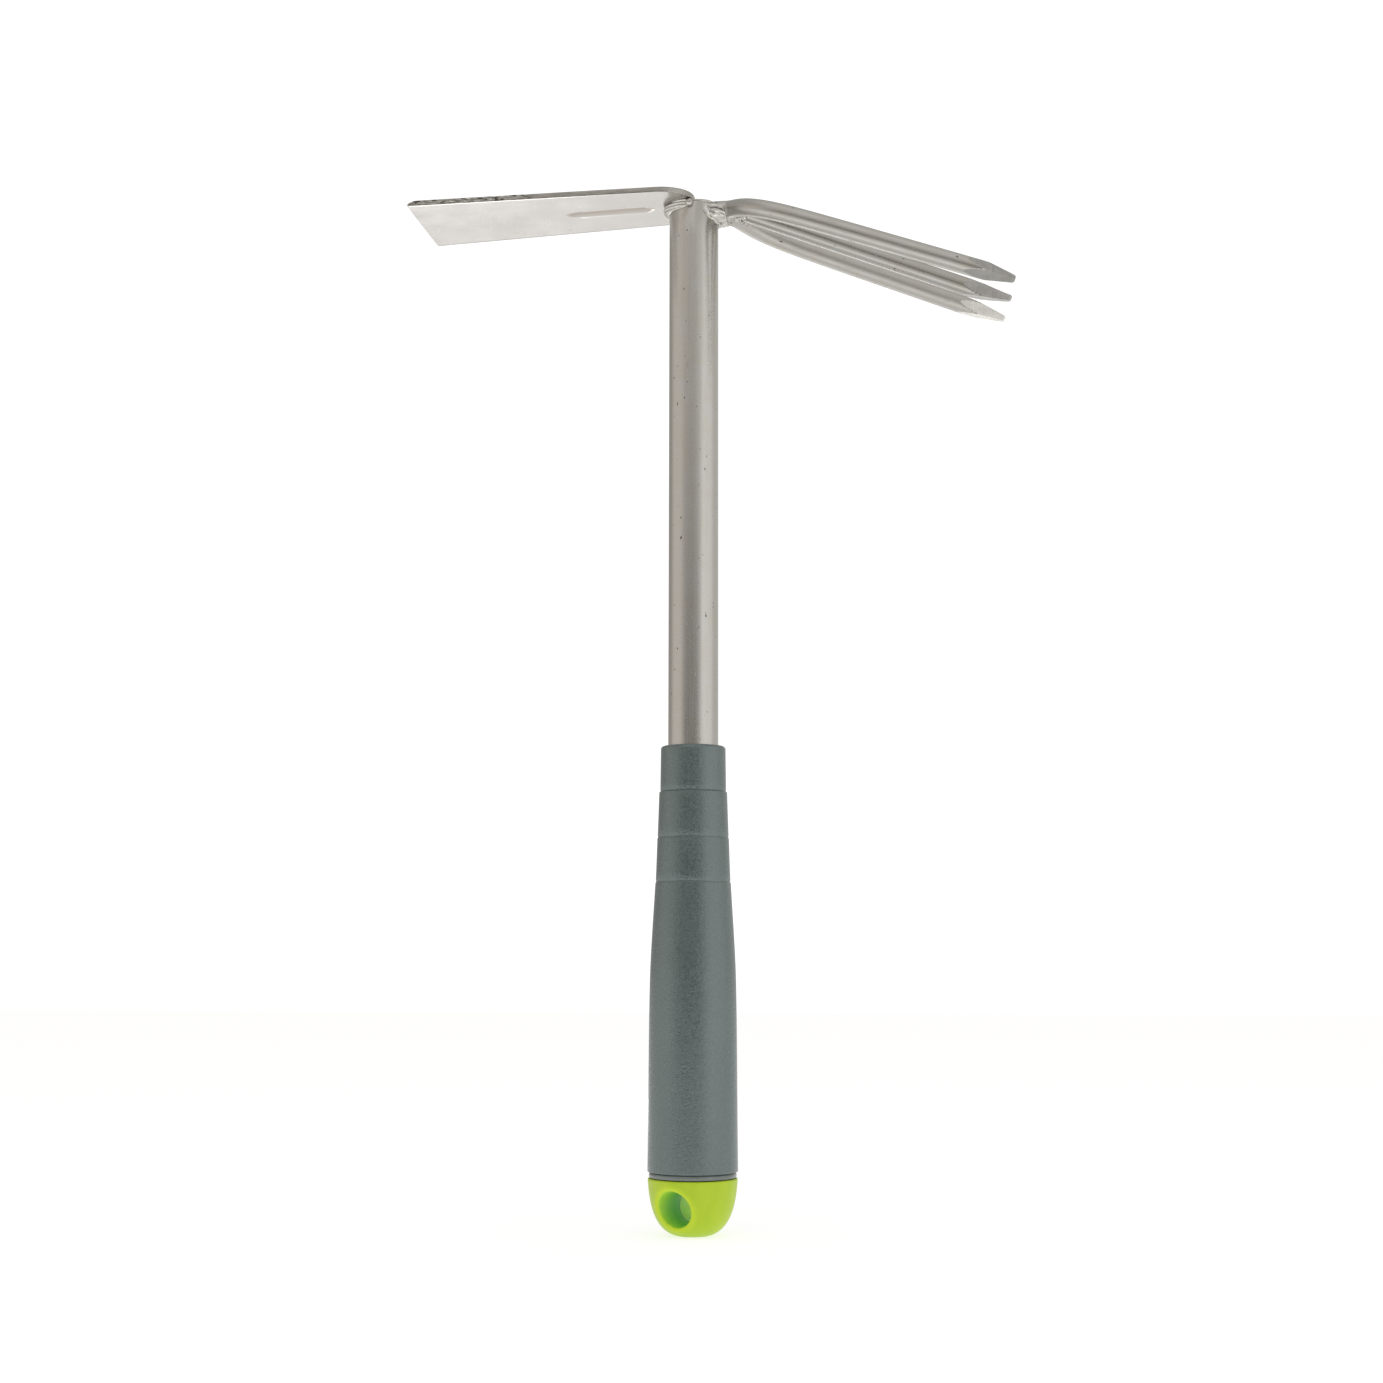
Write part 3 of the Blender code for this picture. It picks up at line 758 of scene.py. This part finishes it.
def make_core():
    bore = TUBE_RADIUS + GAP
    neck = bore - 0.0018
    socket = SPIGOT_RADIUS + 0.0004
    flange_top = GRIP_BOTTOM - CONTACT
    foot = FLANGE_FOOT_ROUND
    outer = arc((FLANGE_RADIUS - foot, CORE_BOTTOM + foot), foot, -90, 0)
    outer += arc((FLANGE_RADIUS - FLANGE_ROUND, flange_top - FLANGE_ROUND), FLANGE_ROUND, 0, 90, 8)
    for z in np.linspace(flange_top, CORE_TOP, 24):
        outer.append((core_radius(z), z))
    inner = [(bore, CORE_TOP), (bore, TUBE_BOTTOM - GAP), (neck, TUBE_BOTTOM - GAP),
             (neck, CORE_LEDGE), (socket, CORE_LEDGE - 0.0020), (socket, CORE_BOTTOM)]
    return turned("core_moulding", outer + inner)


# End cap

def cap_field(p):
    """Dome on a flat foot, with a round-edged slanting hole and a spigot on top."""
    x, y, z = p[..., 0], p[..., 1], p[..., 2]
    r = np.hypot(x, y)
    depth = np.clip(1 - (z - CAP_APEX) / CAP_HEIGHT, 1e-4, 1.2)
    level = (r / CAP_RADIUS) ** CAP_ROUNDNESS + depth ** CAP_FULLNESS - 1
    slope_r = CAP_ROUNDNESS / CAP_RADIUS * (r / CAP_RADIUS) ** (CAP_ROUNDNESS - 1)
    slope_z = CAP_FULLNESS / CAP_HEIGHT * depth ** (CAP_FULLNESS - 1)
    dome = level / np.sqrt(slope_r ** 2 + slope_z ** 2)
    dome = keep(dome, -z, 0.0004)
    dome = keep(dome, z - CAP_TOP, CAP_RIM_ROUND)
    across = x * cos(HOLE_TURN) + y * sin(HOLE_TURN)
    along = np.abs(y * cos(HOLE_TURN) - x * sin(HOLE_TURN))
    waist = HOLE_WAIST * np.clip(1 - along / 0.010, 0, 1)
    hole = HOLE_RADIUS - waist - np.hypot(across, z - HOLE_Z)
    dome = keep(dome, hole, HOLE_RIM_ROUND)
    spigot = keep(r - SPIGOT_RADIUS, z - SPIGOT_TOP, 0.0008)
    spigot = np.maximum(spigot, CAP_TOP - 0.0010 - z)
    return np.minimum(dome, spigot)


def make_cap():
    side = CAP_RADIUS + 0.0012
    top = SPIGOT_TOP + 0.0010
    return field_mesh("lime_dome", cap_field, (-side, -side, -0.0010), (side, side, top), CAP_STEP)


# Node patterns

class Nodes:
    """Short ways to build a pattern in a node tree. An input is a number, a colour or an output."""

    def __init__(self, tree):
        self.tree = tree

    def add(self, kind):
        return self.tree.nodes.new("ShaderNode" + kind)

    def feed(self, value, socket):
        if isinstance(value, bpy.types.NodeSocket):
            self.tree.links.new(value, socket)
        elif socket.type == "RGBA":
            socket.default_value = (*value, 1.0)
        else:
            socket.default_value = value

    def spread(self, value, from_low, from_high, to_low=0.0, to_high=1.0, smooth=False):
        """Maps a range onto another one and holds it at the ends."""
        made = self.add("MapRange")
        if smooth:
            made.interpolation_type = "SMOOTHSTEP"
        numbers = {"From Min": from_low, "From Max": from_high, "To Min": to_low, "To Max": to_high}
        for socket, number in numbers.items():
            made.inputs[socket].default_value = number
        self.feed(value, made.inputs["Value"])
        return made.outputs["Result"]

    def maths(self, operation, a, b=0.0):
        made = self.add("Math")
        made.operation = operation
        self.feed(a, made.inputs[0])
        self.feed(b, made.inputs[1])
        return made.outputs["Value"]

    def mix(self, factor, a, b):
        made = self.add("Mix")
        made.data_type = "RGBA"
        first, second = (s for s in made.inputs if s.type == "RGBA")
        self.feed(a, first)
        self.feed(b, second)
        self.feed(factor, made.inputs[0])
        return next(s for s in made.outputs if s.type == "RGBA")

    def axes(self, vector):
        split = self.add("SeparateXYZ")
        self.feed(vector, split.inputs[0])
        return split.outputs


class Look(Nodes):
    """A material with a Principled shader."""

    def __init__(self, name, colour, roughness, metallic=0.0):
        self.material = bpy.data.materials.new(name)
        self.material.use_nodes = True
        super().__init__(self.material.node_tree)
        self.shader = self.tree.nodes["Principled BSDF"]
        self.coords = self.add("TexCoord").outputs["Object"]
        self.set("Base Color", colour)
        self.set("Roughness", roughness)
        self.set("Metallic", metallic)

    def set(self, socket, value):
        self.feed(value, self.shader.inputs[socket])

    def noise(self, size, turn=(0.0, 0.0, 0.0), detail=2.0, rough=0.5):
        """Noise whose lumps have that size along each axis, in metres, in a frame turned by turn."""
        mapping = self.add("Mapping")
        mapping.vector_type = "TEXTURE"
        mapping.inputs["Rotation"].default_value = turn
        mapping.inputs["Scale"].default_value = size if isinstance(size, tuple) else (size,) * 3
        self.feed(self.coords, mapping.inputs["Vector"])
        made = self.add("TexNoise")
        made.inputs["Scale"].default_value = 1.0
        made.inputs["Detail"].default_value = detail
        made.inputs["Roughness"].default_value = rough
        self.feed(mapping.outputs["Vector"], made.inputs["Vector"])
        return made.outputs["Fac"]

    def bump(self, *heights):
        """Stacks bumps, each a height output and its depth in metres."""
        before = None
        for height, depth in heights:
            made = self.add("Bump")
            made.inputs["Strength"].default_value = 1.0
            made.inputs["Distance"].default_value = depth
            self.feed(height, made.inputs["Height"])
            if before is not None:
                self.feed(before, made.inputs["Normal"])
            before = made.outputs["Normal"]
        self.set("Normal", before)


# Materials

def lit(light, *colour):
    """A colour made that many times as bright."""
    return tuple(light * c for c in colour)


def satin_steel(name, turn, across, along, light, matt=0.0):
    """Drawn stainless steel: fine streaks along the bar, a faint mottle and a few dark pits."""
    look = Look(name, (0.56, 0.545, 0.51), 0.30, 1.0)
    streaks = look.noise((across, across, along), turn, detail=4.0)
    mottle = look.noise(0.0065, detail=3.0)
    grain = look.noise(0.00045)
    pits = look.spread(look.noise((0.0012, 0.0012, 0.0024), turn, detail=1.0), 0.745, 0.785)
    marks = look.spread(look.noise((0.0011, 0.0011, 0.011), turn), 0.71, 0.79, 0.0, 0.25)
    # light scales the whole tone. The prongs each get their own value, as painted light and shade on one
    # steel.
    warm = lit(light, 1.0, 0.955, 0.870)
    plain = lit(light, 1.01, 0.985, 0.940)
    tone = look.mix(look.spread(mottle, 0.35, 0.65), warm, plain)
    tone = look.mix(look.spread(streaks, 0.60, 0.78, 0.0, 0.22), tone, lit(0.62, *warm))
    tone = look.mix(marks, tone, lit(0.45, *warm))
    look.set("Base Color", look.mix(pits, tone, (0.12, 0.105, 0.09)))
    streaked = look.spread(streaks, 0.3, 0.7, 0.22 + matt, 0.30 + matt)
    look.set("Roughness", look.maths("ADD", streaked, look.spread(grain, 0.3, 0.7, -0.03, 0.05)))
    look.bump((streaks, 0.000012), (grain, 0.000008), (pits, -0.00010))
    return look.material


def ground_steel(light):
    """The ground flats of the points: duller, with grinding lines across them."""
    look = Look("ground steel", (0.36, 0.35, 0.33), 0.45, 1.0)
    # light scales the whole tone. Each point gets its own value, as painted light and shade.
    dull, bright, scored = (lit(light * b, 1.0, 0.975, 0.925) for b in (0.84, 1.0, 0.54))
    lines = look.noise((0.00035, 0.006, 0.006), detail=4.0)
    tone = look.mix(look.spread(look.noise(0.0030), 0.35, 0.65), dull, bright)
    look.set("Base Color", look.mix(look.spread(lines, 0.55, 0.75, 0.0, 0.5), tone, scored))
    look.set("Roughness", look.spread(lines, 0.3, 0.7, 0.24, 0.42))
    look.bump((lines, 0.00006))
    return look.material


def blade_steel():
    """Polished plate: long polishing lines, faint smears, and painted brownish shade in the pressed
    groove.
    """
    look = Look("polished steel", (0.66, 0.64, 0.61), 0.2, 1.0)
    lines = look.noise((0.030, 0.00045, 0.00045), detail=5.0)
    smears = look.noise(0.012, detail=3.0)
    scratch = look.spread(look.noise((0.0004, 0.018, 0.0004), (0, 0, radians(24))), 0.68, 0.74)
    spots = look.spread(look.noise(0.0022, detail=1.0), 0.75, 0.79, 0.0, 0.7)
    tone = look.mix(look.spread(smears, 0.35, 0.7), (0.580, 0.555, 0.528), (0.610, 0.585, 0.558))
    tone = look.mix(look.spread(lines, 0.6, 0.8, 0.0, 0.25), tone, (0.5, 0.47, 0.44))
    tone = look.mix(spots, tone, (0.38, 0.33, 0.29))
    # The pressed groove is painted darker and browner than the plate: painted shade in the recess.
    place = look.axes(look.coords)
    from_middle = look.maths("ABSOLUTE", place["Y"])
    in_width = look.spread(from_middle, RIB_HALF_WIDTH * 0.95, RIB_HALF_WIDTH * 0.2)
    half_length, centre = (RIB_INNER_X - RIB_OUTER_X) / 2, (RIB_OUTER_X + RIB_INNER_X) / 2
    from_centre = look.maths("ABSOLUTE", look.maths("SUBTRACT", place["X"], centre))
    in_length = look.spread(from_centre, half_length, half_length - 0.003, 0.0, 0.75)
    groove_painted_shade = look.maths("MULTIPLY", in_width, in_length)
    look.set("Base Color", look.mix(groove_painted_shade, tone, (0.40, 0.345, 0.30)))
    lined = look.spread(lines, 0.3, 0.7, 0.12, 0.20)
    rough = look.maths("ADD", lined, look.spread(smears, 0.3, 0.7, 0.0, 0.07))
    look.set("Roughness", look.maths("ADD", rough, look.maths("MULTIPLY", scratch, 0.12)))
    look.bump((lines, 0.000008), (scratch, -0.00001))
    return look.material


def sheared_steel():
    """The plate's cut edge: darker than its faces, with coarse grinding specks towards the tip."""
    look = Look("sheared steel", (0.30, 0.285, 0.26), 0.3, 1.0)
    lines = look.noise((0.006, 0.0004, 0.0004), detail=4.0)
    specks = look.noise((0.0026, 0.0026, 0.0007))
    tone = look.mix(look.spread(lines, 0.35, 0.65), (0.30, 0.285, 0.26), (0.42, 0.405, 0.37))
    towards_tip = look.spread(look.axes(look.coords)["X"], BURR_INNER_X, BURR_INNER_X - 0.010)
    dark = look.maths("MULTIPLY", look.spread(specks, 0.56, 0.62, 0.0, 0.95), towards_tip)
    bright = look.maths("MULTIPLY", look.spread(specks, 0.40, 0.35, 0.0, 0.85), towards_tip)
    tone = look.mix(dark, tone, (0.035, 0.032, 0.028))
    look.set("Base Color", look.mix(bright, tone, (0.85, 0.84, 0.80)))
    look.set("Roughness", look.spread(lines, 0.3, 0.7, 0.22, 0.36))
    look.bump((lines, 0.00003))
    return look.material


def weld_metal():
    """Bright weld metal with a slight heat tint and a fine crust."""
    look = Look("weld metal", (0.62, 0.60, 0.57), 0.25, 1.0)
    tint = look.noise(0.0032)
    crust = look.noise(0.00060, detail=4.0)
    soot = look.spread(look.noise(0.0016), 0.68, 0.78, 0.0, 0.7)
    tone = look.mix(look.spread(tint, 0.38, 0.62), (0.46, 0.44, 0.400), (0.56, 0.55, 0.520))
    look.set("Base Color", look.mix(soot, tone, (0.22, 0.20, 0.175)))
    look.set("Roughness", look.spread(crust, 0.3, 0.7, 0.08, 0.24))
    look.bump((crust, 0.00005))
    return look.material


def soft_grip():
    """Soft-touch moulding with a fine spark-eroded grain and faint dark scuffs."""
    look = Look("soft grip", (0.045, 0.060, 0.060), 0.4)
    grain = look.noise(0.00060, rough=0.6)
    pores = look.noise(0.0012)
    cloud = look.noise(0.014)
    scuff = look.spread(look.noise((0.0008, 0.0008, 0.012)), 0.66, 0.76, 0.0, 0.5)
    tone = look.mix(look.spread(cloud, 0.35, 0.65), (0.027, 0.047, 0.046), (0.034, 0.055, 0.054))
    # The grain is lightened in specks: painted glints where light catches the grain.
    tone = look.mix(look.spread(grain, 0.52, 0.70, 0.0, 0.6), tone, (0.090, 0.120, 0.117))
    tone = look.mix(look.spread(pores, 0.42, 0.30, 0.0, 0.6), tone, (0.022, 0.032, 0.032))
    look.set("Base Color", look.mix(scuff, tone, (0.022, 0.030, 0.030)))
    look.set("Roughness", look.spread(pores, 0.3, 0.7, 0.24, 0.34))
    look.set("IOR", 1.7)
    look.set("Specular IOR Level", 1.0)
    look.set("Specular Tint", (0.90, 1.0, 0.985))
    look.bump((pores, 0.00006), (grain, 0.00009))
    return look.material


def hard_core():
    """Glossy dark moulding, seen as a thin ring between the sleeve and the cap."""
    look = Look("glossy core", (0.11, 0.135, 0.125), 0.14)
    swirl = look.noise(0.006)
    tone = look.mix(look.spread(swirl, 0.35, 0.65), (0.11, 0.135, 0.125), (0.14, 0.165, 0.155))
    look.set("Base Color", tone)
    look.set("Roughness", look.spread(swirl, 0.3, 0.7, 0.10, 0.20))
    look.set("Specular IOR Level", 0.9)
    look.bump((look.noise(0.0010), 0.00002))
    return look.material


def paint_hole_light(look, place, tone):
    """Paints light and shade into the cap's colour at the hanging hole: a painted highlight on the rim,
    and walls painted greener, as light coming through the plastic.
    """
    across = look.maths("ADD", look.maths("MULTIPLY", place["X"], cos(HOLE_TURN)),
                        look.maths("MULTIPLY", place["Y"], sin(HOLE_TURN)))
    rise = look.maths("SUBTRACT", place["Z"], HOLE_Z)
    squares = look.maths("ADD", look.maths("MULTIPLY", across, across), look.maths("MULTIPLY", rise, rise))
    from_axis = look.maths("SQRT", squares)
    depth = look.maths("SUBTRACT", look.maths("MULTIPLY", place["Y"], cos(HOLE_TURN)),
                       look.maths("MULTIPLY", place["X"], sin(HOLE_TURN)))
    # The walls are painted yellow-green near the front and darker green deeper in: painted light coming
    # through the plastic, and painted shade.
    wall = look.mix(look.spread(depth, -0.0110, -0.0030), (0.47, 0.80, 0.085), (0.190, 0.60, 0.135))
    # Past the parting line they are painted paler, as light from behind.
    wall = look.mix(look.spread(depth, PARTING_DEPTH, PARTING_DEPTH + 0.0006), wall, (0.52, 0.84, 0.085))
    # A dark line of painted shade along the parting line.
    from_painted_line = look.maths("ABSOLUTE", look.maths("SUBTRACT", depth, PARTING_DEPTH))
    wall = look.mix(look.spread(from_painted_line, 0.0005, 0.0002, 0.0, 0.7), wall, (0.08, 0.30, 0.060))
    # A pale band round the rim: a painted highlight.
    rim_painted_highlight = look.spread(from_axis, HOLE_RADIUS + 0.0028, HOLE_RADIUS + 0.0006, 0.0, 0.75)
    in_hole = look.spread(from_axis, HOLE_RADIUS + 0.0006, HOLE_RADIUS - 0.0001)
    return look.mix(in_hole, look.mix(rim_painted_highlight, tone, (0.60, 0.75, 0.012)), wall)


def lime_plastic():
    """Moulded lime plastic: satin gloss, faint flow marks, pale rubbed marks, scuffs at the foot."""
    look = Look("lime plastic", (0.43, 0.60, 0.020), 0.38)
    flow = look.noise((0.008, 0.008, 0.020), detail=3.0)
    grain = look.noise(0.00050)
    scuff = look.noise((0.0035, 0.0006, 0.0006), (0, 0, radians(35)), detail=3.0)
    rubbed = look.noise((0.0007, 0.0007, 0.0050), detail=3.0)
    place = look.axes(look.coords)
    tone = look.mix(look.spread(flow, 0.35, 0.65), (0.405, 0.580, 0.010), (0.450, 0.615, 0.018))
    # Painted light and shade at the hanging hole.
    tone = paint_hole_light(look, place, tone)
    tone = look.mix(look.spread(rubbed, 0.68, 0.76, 0.0, 0.45), tone, (0.58, 0.72, 0.140))
    at_foot = look.spread(place["Z"], 0.0045, 0.0005, 0.0, 0.6)
    scuffed = look.maths("MULTIPLY", look.spread(scuff, 0.66, 0.74), at_foot)
    look.set("Base Color", look.mix(scuffed, tone, (0.30, 0.42, 0.06)))
    look.set("Roughness", look.spread(grain, 0.3, 0.7, 0.34, 0.46))
    look.set("Specular IOR Level", 0.4)
    look.bump((grain, 0.00002), (flow, 0.00005))
    return look.material


# Studio

def aim(azimuth, elevation):
    """The direction at those degrees. Azimuth 0 is -Y and 90 is +X."""
    a, e = radians(azimuth), radians(elevation)
    return Vector((sin(a) * cos(e), -cos(a) * cos(e), sin(e)))


def studio_world():
    """The camera sees plain white. The object is lit by, and reflects, a separate set of walls.

    They are soft and bright, and a little uneven, with a dark zone behind the camera.
    """
    world = bpy.data.worlds.new("studio")
    bpy.context.scene.world = world
    world.use_nodes = True
    nodes = Nodes(world.node_tree)
    nodes.tree.nodes.clear()
    direction = nodes.add("TexCoord").outputs["Generated"]
    height = nodes.axes(direction)["Z"]

    def zone(azimuth, elevation, inner, outer):
        """1 within inner degrees of that direction and 0 beyond outer degrees."""
        dot = nodes.add("VectorMath")
        dot.operation = "DOT_PRODUCT"
        nodes.feed(direction, dot.inputs[0])
        dot.inputs[1].default_value = aim(azimuth, elevation)
        return nodes.spread(dot.outputs["Value"], cos(radians(outer)), cos(radians(inner)), smooth=True)

    def band(start, end):
        """0 at elevation start and 1 from elevation end on, in degrees."""
        sign = -1 if end < start else 1
        signed = nodes.maths("MULTIPLY", height, sign)
        return nodes.spread(signed, sign * sin(radians(start)), sign * sin(radians(end)), smooth=True)

    walls = nodes.mix(zone(-75, 8, 20, 80), (0.80, 0.775, 0.745), (0.88, 0.835, 0.79))
    walls = nodes.mix(zone(58, 8, 14, 62), walls, (1.02, 1.02, 1.01))
    walls = nodes.mix(band(17, 34), walls, (0.60, 0.59, 0.575))
    walls = nodes.mix(band(48, 72), walls, (0.66, 0.65, 0.635))
    walls = nodes.mix(zone(47, 6, 3, 13), walls, (1.24, 1.24, 1.23))
    walls = nodes.mix(zone(145, 0, 8, 36), walls, (0.74, 0.74, 0.72))
    walls = nodes.mix(zone(-148, 0, 22, 52), walls, (0.46, 0.44, 0.415))
    level = nodes.maths("MULTIPLY", band(21, -3), band(-10.5, -5.5))
    behind_camera = nodes.maths("MULTIPLY", level, zone(-5, 3, 18, 54))
    walls = nodes.mix(behind_camera, walls, (0.02, 0.022, 0.022))
    light = nodes.add("Background")
    nodes.feed(walls, light.inputs["Color"])
    white = nodes.add("Background")
    white.inputs["Color"].default_value = (1, 1, 1, 1)
    white.inputs["Strength"].default_value = 1.1
    both = nodes.add("MixShader")
    nodes.feed(nodes.add("LightPath").outputs["Is Camera Ray"], both.inputs["Fac"])
    nodes.feed(light.outputs[0], both.inputs[1])
    nodes.feed(white.outputs[0], both.inputs[2])
    nodes.feed(both.outputs[0], nodes.add("OutputWorld").inputs["Surface"])


def studio_floor():
    """Pale paper that gives off light, more in a strip in front and a patch behind.

    All of it is white to the camera. The strip and the patch are there for the steel to reflect.
    """
    half, front = 3.0, -0.75
    corners = [(-half, front, 0), (half, front, 0), (half, half, 0), (-half, half, 0)]
    floor = mesh_object("studio_floor", corners, [(0, 1, 2, 3)])
    paper = Look("white paper", (0.45, 0.45, 0.45), 0.9)
    paper.set("Specular IOR Level", 0.0)
    paper.set("Emission Color", (1, 1, 1))
    place = paper.axes(paper.coords)

    def inside(axis, middle, half_width, edge=0.03):
        away = paper.maths("ABSOLUTE", paper.maths("SUBTRACT", place[axis], middle))
        return paper.spread(away, half_width + edge, half_width - edge, smooth=True)

    strip = paper.maths("MULTIPLY", inside("Y", -0.31, 0.11), 0.60)
    patch = paper.maths("MULTIPLY", inside("X", -0.19, 0.09), inside("Y", 0.60, 0.16))
    strength = paper.maths("ADD", 0.70, strip)
    paper.set("Emission Strength", paper.maths("ADD", strength, paper.maths("MULTIPLY", patch, 1.8)))
    floor.data.materials.append(paper.material)


def soft_light(name, azimuth, elevation, distance, size, power):
    """A square soft box that points at the middle of the tool."""
    target = Vector((0, 0, 0.2))
    place = target + distance * aim(azimuth, elevation)
    data = bpy.data.lights.new(name, "AREA")
    data.size = size
    data.energy = power
    lamp = bpy.data.objects.new(name, data)
    lamp.location = place
    lamp.rotation_euler = (target - place).to_track_quat("-Z", "Y").to_euler()
    bpy.context.scene.collection.objects.link(lamp)


def studio_camera():
    data = bpy.data.cameras.new("camera")
    data.lens = CAMERA_LENS
    data.sensor_width = 36.0
    data.clip_start = 0.01
    camera = bpy.data.objects.new("camera", data)
    turn = Matrix.Rotation(CAMERA_TURN, 4, "Z") @ Matrix.Rotation(pi / 2 + CAMERA_RISE, 4, "X")
    camera.matrix_world = Matrix.Translation(CAMERA_PLACE) @ turn @ Matrix.Rotation(CAMERA_ROLL, 4, "Z")
    bpy.context.scene.collection.objects.link(camera)
    bpy.context.scene.camera = camera


def studio():
    studio_camera()
    studio_world()
    studio_floor()
    soft_light("top_box", 30, 72, 1.5, 1.6, 2.2)
    soft_light("front_box", -15, 50, 1.6, 1.2, 1.2)
    soft_light("right_box", 75, 14, 1.3, 1.2, 0.6)
    bpy.context.scene.view_settings.view_transform = "Standard"


def build():
    slope_turn = (0.0, pi / 2 + atan2(TINE_SLOPE, 1), 0.0)
    tube_steel = satin_steel("satin tube steel", (0, 0, 0), 0.0006, 0.030, 0.475)
    bead = weld_metal()
    finish_piece(make_tube(), [tube_steel], "shaft_tube")
    finish_piece(make_blade(), [blade_steel(), sheared_steel()], "hoe_blade")
    for node, shape in PRONGS.items():
        # Each prong gets its own lightness, which is painted light and shade on one steel.
        light, matt = ROD_PAINTED_LIGHT[node], ROD_MATT[node]
        rod_steel = satin_steel("satin rod steel", slope_turn, 0.0009, 0.020, light, matt)
        point_steel = ground_steel(POINT_PAINTED_LIGHT[node])
        finish_piece(make_tine(node, *shape), [rod_steel, point_steel], node)
    for node, piece in make_welds().items():
        finish_piece(piece, [bead], node)
    finish_piece(make_sleeve(), [soft_grip()], "grip_sleeve")
    finish_piece(make_core(), [hard_core()], "handle_core")
    finish_piece(make_cap(), [lime_plastic()], "end_cap")


build()
studio()
